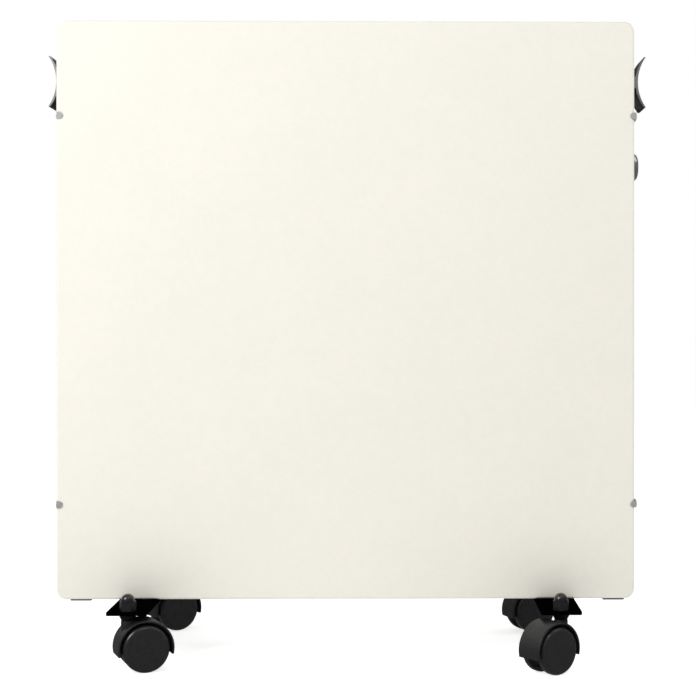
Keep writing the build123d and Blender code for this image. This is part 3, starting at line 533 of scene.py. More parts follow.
def add_relief(tree, shader, height_socket, relief_mm):
    """Bends the shading by a height that is as deep as given."""
    bump = new_node(tree, "ShaderNodeBump", sockets={"Strength": 1.0, "Distance": relief_mm * MM})
    tree.links.new(height_socket, bump.inputs["Height"])
    tree.links.new(bump.outputs[0], shader.inputs["Normal"])


def grained(name, light, dark, cloud_mm, roughness, grain_mm, relief_mm, **constants):
    """A finish of two close tones with a fine grain in its roughness and its relief."""
    finish, tree, shader = new_finish(name, **constants)
    tone = clouds(tree, cloud_mm, light, dark)
    low, high = roughness
    grain = use_group(tree, GRAIN, {"Size mm": grain_mm, "Low": low, "High": high})
    tree.links.new(tone, shader.inputs["Base Color"])
    tree.links.new(grain.outputs["Value"], shader.inputs["Roughness"])
    add_relief(tree, shader, grain.outputs["Height"], relief_mm)
    return finish


def brushed(name, light, dark, squeeze, roughness, relief_mm, metallic=1.0):
    """Bare metal with the lines of its last working, along the axis with the least squeeze."""
    finish, tree, shader = new_finish(name, Metallic=metallic)
    tone = clouds(tree, METAL_CLOUD_MM, light, dark)
    low, high = roughness
    lines = use_group(tree, BRUSHING, {"Squeeze": squeeze, "Low": low, "High": high})
    tree.links.new(tone, shader.inputs["Base Color"])
    tree.links.new(lines.outputs["Value"], shader.inputs["Roughness"])
    add_relief(tree, shader, lines.outputs["Height"], relief_mm)
    return finish


def ivory_ceramic():
    """Satin ivory ceramic: soft clouds of tone, a fine mottle and thinly scattered specks."""
    finish, tree, shader = new_finish("ivory_ceramic")
    wide = clouds(tree, 90.0, (0.875, 0.850, 0.771), (0.860, 0.838, 0.758))
    mottle = clouds(tree, 9.0, (1.0, 0.992, 0.985), (0.980, 0.990, 0.975))
    grain = use_group(tree, GRAIN, {"Size mm": 1.6, "Low": 0.975, "High": 1.0})
    roughness = use_group(tree, GRAIN, {"Size mm": 2.2, "Low": 0.42, "High": 0.52})
    specks = use_group(tree, SPECKS, {"Spacing mm": 5.0, "Speck Radius": 0.09, "Share": 0.22})
    faint = new_node(tree, "ShaderNodeMath", {"operation": "MULTIPLY"}, {1: FLECK_STRENGTH})
    tone = multiplied(tree, multiplied(tree, wide, mottle), grain.outputs["Value"])
    tree.links.new(specks.outputs["Mask"], faint.inputs[0])
    tone = flecked(tree, tone, (0.66, 0.62, 0.54), faint.outputs[0])
    tree.links.new(tone, shader.inputs["Base Color"])
    tree.links.new(roughness.outputs["Value"], shader.inputs["Roughness"])
    add_relief(tree, shader, grain.outputs["Height"], 0.03)
    return finish


def fired_brick():
    """Dense brown storage brick with dark iron specks and an open grain."""
    finish, tree, shader = new_finish("fired_brick")
    tone = clouds(tree, 18.0, (0.25, 0.165, 0.115), (0.17, 0.105, 0.072))
    grain = use_group(tree, GRAIN, {"Size mm": 1.2, "Low": 0.75, "High": 0.95})
    specks = use_group(tree, SPECKS, {"Spacing mm": 2.6, "Speck Radius": 0.28, "Share": 0.4})
    tone = flecked(tree, tone, (0.035, 0.027, 0.024), specks.outputs["Mask"])
    tree.links.new(tone, shader.inputs["Base Color"])
    tree.links.new(grain.outputs["Value"], shader.inputs["Roughness"])
    add_relief(tree, shader, grain.outputs["Height"], 0.25)
    return finish


CERAMIC = ivory_ceramic()
BLACK_COAT = grained(
    "black_powder_coat", light=(0.004, 0.004, 0.0043), dark=(0.003, 0.003, 0.0033),
    cloud_mm=30, roughness=(0.50, 0.62), grain_mm=0.7, relief_mm=0.02, Specular_IOR_Level=0.1,
)
BAR_BLACK = grained(
    "black_bar_coat", light=(0.0008, 0.0008, 0.0009), dark=(0.0005, 0.0005, 0.0006),
    cloud_mm=30, roughness=(0.72, 0.85), grain_mm=0.7, relief_mm=0.02, Specular_IOR_Level=0.0,
)
HANDLE_BLACK = grained(
    "black_anodised_handle", light=(0.0025, 0.0025, 0.003), dark=(0.002, 0.002, 0.0022),
    cloud_mm=20, roughness=(0.36, 0.48), grain_mm=0.5, relief_mm=0.008, Specular_IOR_Level=0.12,
)
CUT_METAL = brushed(
    "sawn_aluminium", light=(0.60, 0.60, 0.60), dark=(0.52, 0.52, 0.53),
    squeeze=(300, 60, 2600), roughness=(0.30, 0.46), relief_mm=0.02,
)
CLIP_STEEL = brushed(
    "satin_clip_steel", light=(0.70, 0.70, 0.68), dark=(0.54, 0.54, 0.53),
    squeeze=(500, 3000, 3000), roughness=(0.30, 0.44), relief_mm=0.01, metallic=0.6,
)
NUT_BLACK = grained(
    "black_oxide_nut", light=(0.0075, 0.0075, 0.0078), dark=(0.006, 0.006, 0.0062),
    cloud_mm=8, roughness=(0.25, 0.34), grain_mm=0.5, relief_mm=0.01, Specular_IOR_Level=0.75,
)
STEM_BLACK = grained(
    "black_stem_steel", light=(0.004, 0.004, 0.0042), dark=(0.003, 0.003, 0.0032),
    cloud_mm=8, roughness=(0.40, 0.54), grain_mm=0.5, relief_mm=0.01, Specular_IOR_Level=0.2,
)
HOOD_NYLON = grained(
    "castor_hood_nylon", light=(0.0170, 0.0172, 0.0178), dark=(0.0134, 0.0136, 0.0141),
    cloud_mm=12, roughness=(0.36, 0.46), grain_mm=0.5, relief_mm=0.015, Specular_IOR_Level=0.32,
)
WHEEL_NYLON = grained(
    "castor_wheel_nylon", light=(0.0150, 0.0150, 0.0152), dark=(0.0125, 0.0125, 0.0127),
    cloud_mm=12, roughness=(0.24, 0.34), grain_mm=0.5, relief_mm=0.012, Specular_IOR_Level=0.55,
)
CHROME = brushed(
    "polished_chrome", light=(0.62, 0.62, 0.63), dark=(0.55, 0.55, 0.57),
    squeeze=(150, 900, 900), roughness=(0.05, 0.13), relief_mm=0.001,
)
POINTER_BLACK = grained(
    "pointer_paint", light=(0.015, 0.015, 0.016), dark=(0.011, 0.011, 0.012),
    cloud_mm=4, roughness=(0.42, 0.55), grain_mm=0.3, relief_mm=0.005,
)
DIAL_BLACK = brushed(
    "black_dial_disc", light=(0.030, 0.030, 0.031), dark=(0.024, 0.024, 0.025),
    squeeze=(300, 300, 2600), roughness=(0.34, 0.46), relief_mm=0.01,
)
MARK_WHITE = grained(
    "white_print", light=(0.80, 0.80, 0.79), dark=(0.74, 0.74, 0.73),
    cloud_mm=3, roughness=(0.50, 0.62), grain_mm=0.3, relief_mm=0.004,
)
SWITCH_BLACK = grained(
    "black_switch_moulding", light=(0.016, 0.016, 0.017), dark=(0.012, 0.012, 0.013),
    cloud_mm=10, roughness=(0.24, 0.36), grain_mm=0.4, relief_mm=0.008,
)
GLAND_BLACK = grained(
    "black_gland_nylon", light=(0.022, 0.022, 0.023), dark=(0.017, 0.017, 0.018),
    cloud_mm=8, roughness=(0.40, 0.54), grain_mm=0.4, relief_mm=0.015,
)
ZINC_SCREW = brushed(
    "zinc_plated_screw", light=(0.56, 0.56, 0.55), dark=(0.46, 0.47, 0.49),
    squeeze=(900, 900, 900), roughness=(0.24, 0.40), relief_mm=0.006,
)
BRIGHT_STEEL = brushed(
    "bright_steel_rod", light=(0.58, 0.58, 0.57), dark=(0.50, 0.50, 0.50),
    squeeze=(2400, 300, 2400), roughness=(0.22, 0.38), relief_mm=0.006,
)
ZINC_SHEET = brushed(
    "zinc_coated_sheet", light=(0.55, 0.57, 0.58), dark=(0.42, 0.44, 0.46),
    squeeze=(90, 90, 160), roughness=(0.30, 0.50), relief_mm=0.006,
)
SEAL_RUBBER = grained(
    "silicone_seal", light=(0.42, 0.41, 0.38), dark=(0.36, 0.35, 0.33),
    cloud_mm=12, roughness=(0.60, 0.75), grain_mm=0.6, relief_mm=0.03,
)
BRICK = fired_brick()
ELEMENT_TUBE = brushed(
    "heat_darkened_tube", light=(0.20, 0.165, 0.14), dark=(0.12, 0.11, 0.125),
    squeeze=(250, 2400, 2400), roughness=(0.38, 0.55), relief_mm=0.01,
)
PORCELAIN = grained(
    "white_porcelain", light=(0.80, 0.79, 0.75), dark=(0.74, 0.73, 0.69),
    cloud_mm=10, roughness=(0.25, 0.38), grain_mm=0.8, relief_mm=0.02,
)
PALE_PLASTIC = grained(
    "pale_heatproof_plastic", light=(0.58, 0.57, 0.53), dark=(0.53, 0.52, 0.48),
    cloud_mm=14, roughness=(0.42, 0.55), grain_mm=0.5, relief_mm=0.02,
)
BOARD_FIBRE = grained(
    "pressed_fibre_board", light=(0.70, 0.68, 0.63), dark=(0.60, 0.58, 0.53),
    cloud_mm=9, roughness=(0.82, 0.95), grain_mm=1.0, relief_mm=0.15,
)
COPPER = brushed(
    "drawn_copper", light=(0.72, 0.38, 0.24), dark=(0.60, 0.30, 0.19),
    squeeze=(2400, 2400, 250), roughness=(0.25, 0.42), relief_mm=0.006,
)
WIRE_SLEEVE = grained(
    "silicone_wire_sleeve", light=(0.62, 0.60, 0.55), dark=(0.55, 0.53, 0.48),
    cloud_mm=10, roughness=(0.50, 0.65), grain_mm=0.5, relief_mm=0.02,
)


# Slabs and clips


def slab_shape():
    """A square plate with round corners, standing on edge with its face to the front."""
    half = SLAB_SIDE / 2
    bm = box((-half, half), (-half, half), (0, SLAB_THICK))
    round_edges(bm, edges_along(bm, 2), SLAB_CORNER_R, 12)
    for height, width in ((SLAB_THICK, SLAB_FACE_EDGE_R), (0, SLAB_BACK_EDGE_R)):
        rim = [edge for edge in bm.edges if all(abs(v.co.z - height) < CLOSE for v in edge.verts)]
        round_edges(bm, rim, width, 4)
    slab = placed(bm, at(SLAB_X, SLAB_THICK - SLAB_FACE_Y, SLAB_MIDDLE_Z), FACING_FRONT)
    depth, height = CLIP_NOTCH
    for z in CLIP_Z:
        notch_z = (z - height / 2, z + height / 2)
        for edge_x in (SLAB_X - half, SLAB_X + half):
            notch = box((edge_x - depth, edge_x + depth), (-SLAB_FACE_Y - 1, 0), notch_z)
            slab = combined(slab, notch, "DIFFERENCE")
    return slab


def clip_shape(z):
    """One right-hand clip at the front, bent from thin steel strip, with its half-round tab."""
    sheet = CLIP_SHEET
    front_x, back_x = CLIP_OUTER_X
    tab_y = -SLAB_FACE_Y - sheet
    leg_y = -CLIP_LEG_Y - sheet
    foot_x = CHANNEL_X + sheet
    corners = [
        (front_x - sheet, tab_y), (front_x, tab_y),
        (back_x, -CLIP_LEG_Y), (foot_x, -CLIP_LEG_Y),
        (foot_x, -CLIP_FOOT_END_Y), (CHANNEL_X, -CLIP_FOOT_END_Y),
        (CHANNEL_X, leg_y), (back_x - sheet, leg_y),
    ]
    low = z - CLIP_HEIGHT / 2
    high = z + CLIP_HEIGHT / 2
    bm = bmesh.new()
    strip = bm.faces.new([bm.verts.new((x, y, low)) for x, y in corners])
    grown = bmesh.ops.extrude_face_region(bm, geom=[strip])["geom"]
    bmesh.ops.translate(bm, vec=(0, 0, CLIP_HEIGHT), verts=added_verts(grown))
    bmesh.ops.recalc_face_normals(bm, faces=bm.faces)
    bends = [Vector(corners[1]), Vector(corners[2])]
    outside = []
    for edge in edges_along(bm, 2):
        place = edge.verts[0].co.xy
        if any((place - bend).length < NEAR for bend in bends):
            outside.append(edge)
    round_edges(bm, outside, sheet * 0.8, 4)
    tab_r = CLIP_HEIGHT / 2
    disc = turned([(0, 0), (tab_r, 0), (tab_r, sheet), (0, sheet)], [(2, 0.3, 3)], 40)
    tab = placed(disc, at(CLIP_TAB_X, -SLAB_FACE_Y, z), FACING_FRONT)
    root = box((CLIP_TAB_X, front_x - sheet * 0.75), (tab_y, -SLAB_FACE_Y), (low, high))
    return combined(bm, combined(tab, root, "UNION"), "UNION")


def add_slabs_and_clips():
    for side, turned_round in (("front", Matrix.Identity(4)), ("rear", TO_REAR_SIDE)):
        slab = placed(slab_shape(), turned_round)
        piece(f"{side}_slab_plate", slab, [CERAMIC], CABINET, [f"{side}_slab"])
        clips = []
        for z in CLIP_Z:
            clips.append(placed(clip_shape(z), turned_round))
            clips.append(placed(clip_shape(z), turned_round, TO_LEFT_SIDE))
        four = joined(*clips)
        node = f"{side}_slab_clips"
        piece(f"{side}_clips_bent", four, [CLIP_STEEL], CABINET, [node], edge=0.18)


# Handles


def add_arc(bm, tip_x, middle_x):
    """Adds a row of edges, as high as the handle, along an arc that bulges towards the body."""
    bulge = tip_x - middle_x
    radius = (HANDLE_HALF_HEIGHT ** 2 + bulge ** 2) / (2 * bulge)
    centre = (middle_x + radius, 0, 0)
    start = bm.verts.new((tip_x, 0, -HANDLE_HALF_HEIGHT))
    sweep = 2 * math.asin(HANDLE_HALF_HEIGHT / radius)
    bmesh.ops.spin(
        bm, geom=[start], cent=centre, axis=(0, 1, 0), angle=sweep, steps=HANDLE_ARC_STEPS
    )


def handle_shape():
    """The right handle: a thin plate that curves away from the body, its web and their flares."""
    bm = bmesh.new()
    for tip_x, middle_x in zip(HANDLE_TIP_X, HANDLE_MID_X):
        add_arc(bm, tip_x, middle_x)
    bmesh.ops.bridge_loops(bm, edges=bm.edges[:])
    bmesh.ops.translate(bm, vec=(0, -HANDLE_DEPTH / 2, 0), verts=bm.verts)
    grown = bmesh.ops.extrude_face_region(bm, geom=bm.faces[:])["geom"]
    bmesh.ops.translate(bm, vec=(0, HANDLE_DEPTH, 0), verts=added_verts(grown))
    for z in (-HANDLE_WEB / 2, HANDLE_WEB / 2):
        whole = bm.verts[:] + bm.edges[:] + bm.faces[:]
        bmesh.ops.bisect_plane(bm, geom=whole, dist=WELD, plane_co=(0, 0, z), plane_no=(0, 0, 1))
    bmesh.ops.recalc_face_normals(bm, faces=bm.faces)
    root = []
    for face in bm.faces:
        middle = face.calc_center_median()
        if face.normal.x < -0.9 and abs(middle.z) < HANDLE_WEB / 2:
            root.append(face)
    grown = bmesh.ops.extrude_face_region(bm, geom=root)["geom"]
    bmesh.ops.delete(bm, geom=root, context="FACES_ONLY")
    for vert in added_verts(grown):
        vert.co.x = CHANNEL_X
    bmesh.ops.recalc_face_normals(bm, faces=bm.faces)
    corners = []
    for edge in edges_along(bm, 1):
        place = edge.verts[0].co
        on_plate = HANDLE_MID_X[0] - 0.5 < place.x < HANDLE_MID_X[0] + 0.8
        if on_plate and abs(abs(place.z) - HANDLE_WEB / 2) < NEAR:
            corners.append(edge)
    round_edges(bm, corners, HANDLE_FLARE_R, 8)
    for face in bm.faces:
        is_sawn_end = abs(face.normal.y) > 0.9
        face.material_index = 1 if is_sawn_end else 0
    return placed(bm, at(0, 0, HANDLE_Z))


def add_handles():
    finishes = [HANDLE_BLACK, CUT_METAL]
    for side, mirror in (("right", Matrix.Identity(4)), ("left", TO_LEFT_SIDE)):
        handle = placed(handle_shape(), mirror)
        node = f"{side}_handle"
        piece(f"{node}_extrusion", handle, finishes, CABINET, [node], edge=0.2)


# Castors


def bar_shape(x):
    bm = box((x - BAR_WIDTH / 2, x + BAR_WIDTH / 2), (-BAR_LENGTH / 2, BAR_LENGTH / 2), BAR_Z)
    round_edges(bm, edges_along(bm, 2), BAR_CORNER_R, 4)
    return bm


def hexagon_prism(flats, height, chamfer_from):
    """A hexagonal nut body whose top corners are turned off by a cone of 45 degrees."""
    # A circle of many points is pulled out to a hexagon, so that the cone can curve over its flats
    bm = bmesh.new()
    bmesh.ops.create_circle(bm, cap_ends=True, segments=72, radius=flats / 2)
    for vert in bm.verts:
        angle = math.degrees(math.atan2(vert.co.y, vert.co.x)) % 60 - 30
        vert.co *= 1 / math.cos(math.radians(angle))
    grown = bmesh.ops.extrude_face_region(bm, geom=bm.faces[:])["geom"]
    top = added_verts(grown)
    bmesh.ops.translate(bm, vec=(0, 0, height), verts=top)
    top_faces = [part for part in grown if isinstance(part, bmesh.types.BMFace)]
    bmesh.ops.inset_region(bm, faces=top_faces, thickness=0.05)
    for vert in {vert for face in top_faces for vert in face.verts}:
        vert.co.xy = vert.co.xy.normalized() * chamfer_from
    for vert in top:
        vert.co.z -= vert.co.xy.length - chamfer_from
    bmesh.ops.recalc_face_normals(bm, faces=bm.faces)
    return bm


def cap_nut_shape():
    """A domed nut: a hexagon with a short neck and a half ball on it."""
    nut = hexagon_prism(NUT_FLATS, NUT_HEX_HEIGHT, NUT_CHAMFER_FROM_R)
    dome_z = NUT_HEIGHT - NUT_DOME_R
    rises = [math.radians(degrees) for degrees in range(0, 90, 6)]
    ball = [(NUT_DOME_R * math.cos(rise), dome_z + NUT_DOME_R * math.sin(rise)) for rise in rises]
    foot_z = NUT_HEX_HEIGHT - 1
    dome = turned([(0, foot_z), (NUT_DOME_R, foot_z), *ball, (0, NUT_HEIGHT)], steps=48)
    return placed(combined(nut, dome, "UNION"), at(0, 0, BAR_Z[1]))


def stem_shape():
    """The stem with its collar, which tapers down to the hood's boss."""
    low, high = COLLAR_Z
    outline = [
        (0, STEM_Z[0]), (STEM_R, STEM_Z[0]), (STEM_R, low), (COLLAR_R[0], low),
        (COLLAR_R[1], high), (STEM_R, high), (STEM_R, STEM_Z[1]), (0, STEM_Z[1]),
    ]
    return turned(outline, [(1, 0.6, 2), (3, 0.35, 3), (4, 0.35, 3), (6, 0.6, 2)], steps=48)


def hood_shape():
    """A castor's half-round hood over the wheels, with its middle web and the stem's boss."""
    inner_r, outer_r = HOOD_R
    half_web = HOOD_HALF_WEB
    half_width = HOOD_HALF_WIDTH
    outline = [
        (HOOD_BORE_R, -half_web), (inner_r, -half_web),
        (inner_r, -half_width), (outer_r, -half_width),
        (outer_r, half_width), (inner_r, half_width),
        (inner_r, half_web), (HOOD_BORE_R, half_web),
    ]
    web_roots = [(1, 1.2, 4), (6, 1.2, 4)]
    outer_edges = [(3, 0.9, 4), (4, 0.9, 4)]
    inner_edges = [(2, 0.25, 2), (5, 0.25, 2)]
    ring = turned(outline, web_roots + outer_edges + inner_edges, 96, closed=True)
    hood = placed(ring, at(TRAIL, 0, AXLE_Z), FACING_FRONT)
    whole = hood.verts[:] + hood.edges[:] + hood.faces[:]
    bottom = (0, 0, HOOD_BOTTOM_Z)
    cut = bmesh.ops.bisect_plane(
        hood, geom=whole, dist=WELD, plane_co=bottom, plane_no=(0, 0, 1), clear_inner=True
    )
    rim = [part for part in cut["geom_cut"] if isinstance(part, bmesh.types.BMEdge)]
    bmesh.ops.holes_fill(hood, edges=rim)
    bmesh.ops.recalc_face_normals(hood, faces=hood.faces)
    low, high = BOSS_Z
    boss = turned([(0, low), (BOSS_R, low), (BOSS_R, high), (0, high)], [(2, 0.5, 3)])
    return combined(hood, boss, "UNION")


def wheel_shape():
    """A castor wheel: a plain cover outside, a round tread, and a dish and hub inside."""
    width = WHEEL_Y[1] - WHEEL_Y[0]
    outline = [
        (WHEEL_BORE_R, 0), (WHEEL_HUB_R, 0),
        (WHEEL_HUB_R, WHEEL_DISH), (WHEEL_RIM_INNER_R, WHEEL_DISH),
        (WHEEL_RIM_INNER_R, 0), (WHEEL_R, 0),
        (WHEEL_R, width), (WHEEL_FLAT_R, width),
        (0, width - WHEEL_HOLLOW), (0, width - WHEEL_COVER),
        (WHEEL_BORE_R, width - WHEEL_COVER),
    ]
    tread_edges = [(5, 0.6, 3), (6, WHEEL_EDGE_R, 12)]
    dish_edges = [(4, 0.4, 2), (1, 0.3, 2)]
    wheel = turned(outline, tread_edges + dish_edges, 96, closed=True)
    return placed(wheel, at(TRAIL, WHEEL_Y[0], AXLE_Z), FACING_BACK)


def add_castors():
    for side, x in (("left", -BAR_X), ("right", BAR_X)):
        bar = bar_shape(x)
        node = f"{side}_castor_bar"
        piece(f"{side}_bar_plate", bar, [BAR_BLACK], CABINET, [node], edge=0.35)
    stands = [at(x, y, 0) @ turn(nut_turn, "Z") for x, y, _, nut_turn in CASTORS.values()]
    nuts = joined(*[placed(cap_nut_shape(), place) for place in stands])
    piece("cap_nuts_domed", nuts, [NUT_BLACK], CABINET, ["cap_nuts"])
    stems = joined(*[placed(stem_shape(), place) for place in stands])
    piece("castor_stems_turned", stems, [STEM_BLACK], CABINET, ["castor_stems"])
    for name, (x, y, heading, _) in CASTORS.items():
        place = at(x, y, 0) @ turn(heading, "Z")
        hood = placed(hood_shape(), place)
        castor = f"{name}_castor"
        piece(
            f"{name}_hood_moulding", hood, [HOOD_NYLON], castor,
            [f"{castor}_hood"], edge=0.25,
        )
        for half, mirror in (("a", Matrix.Identity(4)), ("b", TO_REAR_SIDE)):
            wheel = f"{name}_wheel_{half}"
            tyre = placed(wheel_shape(), place, mirror)
            piece(f"{wheel}_moulding", tyre, [WHEEL_NYLON], wheel, [wheel])


# Controls


def knob_shape():
    """A domed chrome knob, hollow at the back, with a pointer groove across its upper face."""
    length = KNOB_X[1] - KNOB_X[0]
    bore_end = length - KNOB_BORE_COVER
    crown_z, rim_z = (length - drop for drop in KNOB_DROP)
    outline = [
        (0, bore_end), (KNOB_BORE_R, bore_end), (KNOB_BORE_R, 0), (KNOB_HUB_R, 0),
        (KNOB_HUB_R, KNOB_HOLLOW_DEPTH), (KNOB_HOLLOW_R, KNOB_HOLLOW_DEPTH), (KNOB_HOLLOW_R, 0),
        (KNOB_R, 0), (KNOB_R, rim_z), (KNOB_CROWN_R, crown_z), (0, length),
    ]
    shoulder = [(8, KNOB_SHOULDER_R, 12)]
    back_edges = [(7, 0.4, 3), (6, 0.3, 2)]
    knob = turned(outline, shoulder + back_edges, 96)
    floor_z = length - POINTER_DEPTH
    half_width = POINTER_HALF_WIDTH
    groove = box((-KNOB_R - 1, -POINTER_END_R), (-half_width, half_width), (floor_z, length + 1))
    knob = combined(knob, groove, "DIFFERENCE")
    for face in knob.faces:
        on_floor = abs(face.calc_center_median().z - floor_z) < NEAR and abs(face.normal.z) > 0.99
        face.material_index = 1 if on_floor else 0
    return placed(knob, at(KNOB_X[0], 0, KNOB_Z), FACING_RIGHT)


def dial_marks():
    """Plain numbers from 0 to 6 and a tick for each, over three quarters of a turn."""
    shapes = []
    for number in range(DIAL_NUMBERS):
        angle = math.radians(DIAL_STEP * number)
        middle_y = DIAL_NUMBER_R * math.sin(angle)
        middle_z = KNOB_Z + DIAL_NUMBER_R * math.cos(angle)
        tick = box((-DIAL_TICK_HALF_WIDTH, DIAL_TICK_HALF_WIDTH), DIAL_TICK_R, (0, PRINT_THICK))
        place = at(DIAL_FACE_X, 0, KNOB_Z) @ FACE_OUT
        shapes.append(placed(tick, place, turn(-DIAL_STEP * number, "Z")))
        curve = bpy.data.curves.new("number", "FONT")
        curve.body = str(number)
        curve.size = DIAL_NUMBER_SIZE
        curve.extrude = PRINT_THICK / 2
        curve.align_x = "CENTER"
        curve.align_y = "CENTER"
        holder = bpy.data.objects.new("number", curve)
        mesh = bpy.data.meshes.new_from_object(holder)
        digit = bmesh.new()
        digit.from_mesh(mesh)
        bpy.data.objects.remove(holder)
        bpy.data.curves.remove(curve)
        bpy.data.meshes.remove(mesh)
        place = at(DIAL_FACE_X + PRINT_THICK / 2, middle_y, middle_z)
        shapes.append(placed(digit, place, FACE_OUT))
    return joined(*shapes)


def rocker_shape():
    """A rocker with a shallow valley in its face, its lower half pressed in."""
    crest = (ROCKER_CREST, ROCKER_HALF_LENGTH)
    back = (-ROCKER_BACK, ROCKER_BACK_HALF_LENGTH)
    corners = [(ROCKER_VALLEY, 0), crest, back, (back[0], -back[1]), (crest[0], -crest[1])]
    bm = bmesh.new()
    outline = bm.faces.new([bm.verts.new((x, -ROCKER_HALF_WIDTH, z)) for x, z in corners])
    grown = bmesh.ops.extrude_face_region(bm, geom=[outline])["geom"]
    bmesh.ops.translate(bm, vec=(0, 2 * ROCKER_HALF_WIDTH, 0), verts=added_verts(grown))
    bmesh.ops.recalc_face_normals(bm, faces=bm.faces)
    valley = [edge for edge in edges_along(bm, 1) if abs(edge.verts[0].co.z) < NEAR]
    round_edges(bm, valley, ROCKER_VALLEY_R, 6)
    pin_r, pin_end = ROCKER_PIN
    pins = turned([(0, -pin_end), (pin_r, -pin_end), (pin_r, pin_end), (0, pin_end)], steps=32)
    rocker = joined(bm, placed(pins, FACING_FRONT))
    return placed(rocker, at(SWITCH_PIVOT_X, 0, SWITCH_Z), turn(SWITCH_TILT, "Y"))


def rocker_marks():
    """A plain stroke for on and a ring for off."""
    climb = ROCKER_CREST - ROCKER_VALLEY
    slope = math.degrees(math.atan2(climb, ROCKER_HALF_LENGTH))
    rise = ROCKER_VALLEY + climb * ROCKER_MARK_OFFSET / ROCKER_HALF_LENGTH
    half_width, half_length = ROCKER_STROKE_HALF
    stroke = box((-half_width, half_width), (-half_length, half_length), (0, PRINT_THICK))
    inner_r, outer_r = ROCKER_RING_R
    outline = [(inner_r, 0), (outer_r, 0), (outer_r, PRINT_THICK), (inner_r, PRINT_THICK)]
    ring = turned(outline, steps=40, closed=True)
    shapes = []
    for mark, side in ((stroke, -1), (ring, 1)):
        spot = at(rise, 0, side * ROCKER_MARK_OFFSET)
        shapes.append(placed(mark, spot, turn(side * -slope, "Y"), FACE_OUT))
    return placed(joined(*shapes), at(SWITCH_PIVOT_X, 0, SWITCH_Z), turn(SWITCH_TILT, "Y"))


def centred_box(x, half):
    """A block that is as far to each side of the X axis as the two halves say."""
    return box(x, (-half[0], half[0]), (-half[1], half[1]))


def switch_housing_shape():
    """A bezel on the channel, a body behind it and the pocket for the rocker."""
    bezel = centred_box((CHANNEL_X, CHANNEL_X + BEZEL_THICK), BEZEL_HALF)
    round_edges(bezel, edges_along(bezel, 0), BEZEL_CORNER_R, 5)
    face_x = CHANNEL_X + BEZEL_THICK
    rim = [edge for edge in bezel.edges if all(abs(v.co.x - face_x) < NEAR for v in edge.verts)]
    round_edges(bezel, rim, BEZEL_RIM_R, 3)
    body = centred_box((CHANNEL_X - SWITCH_BODY_DEPTH, CHANNEL_X + 0.3), SWITCH_BODY_HALF)
    pocket = centred_box((SWITCH_PIVOT_X - POCKET_DEPTH, CHANNEL_X + 3), POCKET_HALF)
    housing = combined(combined(bezel, body, "UNION"), pocket, "DIFFERENCE")
    return placed(housing, at(0, 0, SWITCH_Z))


def gland_shape():
    """A low cable gland: a round flange and a tapered nose with grip notches, bored through."""
    back, front = GLAND_X
    flange = CHANNEL_X + GLAND_FLANGE_THICK
    outline = [
        (GLAND_BORE_R, back), (GLAND_THREAD_R, back),
        (GLAND_THREAD_R, CHANNEL_X), (GLAND_FLANGE_R, CHANNEL_X),
        (GLAND_FLANGE_R, flange), (GLAND_NOSE_R[0], flange),
        (GLAND_NOSE_R[1], front), (GLAND_BORE_R, front),
    ]
    flange_edge = [(4, 0.8, 4)]
    nose_edges = [(6, 0.7, 4), (7, 0.5, 3)]
    gland = turned(outline, flange_edge + nose_edges, 96, closed=True)
    low = flange + 0.4
    high = front + 1
    for number in range(GLAND_GRIPS):
        notch = turned([(0, low), (GLAND_GRIP_R, low), (GLAND_GRIP_R, high), (0, high)], steps=12)
        place = turn(number * 360 / GLAND_GRIPS, "Z") @ at(GLAND_NOSE_R[0], 0, 0)
        gland = combined(gland, placed(notch, place), "DIFFERENCE")
    return placed(gland, at(0, 0, GLAND_Z), FACING_RIGHT)


def add_controls():
    piece(
        "knob_turned", knob_shape(), [CHROME, POINTER_BLACK], "knob",
        ["thermostat_knob"], sharp_above=30,
    )
    piece("dial_numbers", dial_marks(), [MARK_WHITE], CABINET)
    piece(
        "switch_housing_moulding", switch_housing_shape(), [SWITCH_BLACK], CABINET,
        ["switch_housing"], edge=0.15,
    )
    piece(
        "switch_rocker_moulding", rocker_shape(), [SWITCH_BLACK], "rocker",
        ["switch_rocker"], edge=0.3,
    )
    piece("rocker_marks", rocker_marks(), [MARK_WHITE], "rocker")
    gland = gland_shape()
    piece("cable_gland_moulding", gland, [GLAND_BLACK], CABINET, ["cable_gland"])


# Solids that show as they are, and their finishes
KEPT_NODES = {
    "slab_seals": SEAL_RUBBER,
    "clip_screws": ZINC_SCREW,
    "m4_screws": ZINC_SCREW,
    "handle_screws": ZINC_SCREW,
    "thermostat_screws": ZINC_SCREW,
    "left_channel": BLACK_COAT,
    "right_channel": BLACK_COAT,
    "top_grille": BLACK_COAT,
    "bottom_grille": BLACK_COAT,
    "grille_brackets": BLACK_COAT,
    "bar_bolts": BLACK_COAT,
    "bar_nuts": ZINC_SCREW,
    "thermostat_shaft": BRIGHT_STEEL,
    "dial_plate": DIAL_BLACK,
    "thermostat_body": PALE_PLASTIC,
    "sensor_bulb": COPPER,
    "gland_nut": GLAND_BLACK,
    "front_storage_bricks": BRICK,
    "rear_storage_bricks": BRICK,
    "heating_element": ELEMENT_TUBE,
    "element_bushings": PORCELAIN,
    "lower_core_rail": ZINC_SHEET,
    "upper_core_rail": ZINC_SHEET,
    "heat_shield": ZINC_SHEET,
    "insulation_board": BOARD_FIBRE,
    "thermal_cutout": PALE_PLASTIC,
    "terminal_block": PORCELAIN,
    "earth_stud": ZINC_SCREW,
    "internal_wires": WIRE_SLEEVE,
    **{f"{name}_castor_axle": BRIGHT_STEEL for name in CASTORS},
}


def finish_kept_nodes():
    for name, finish in KEPT_NODES.items():
        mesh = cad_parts[name].data
        mesh.materials.clear()
        mesh.materials.append(finish)


# Studio

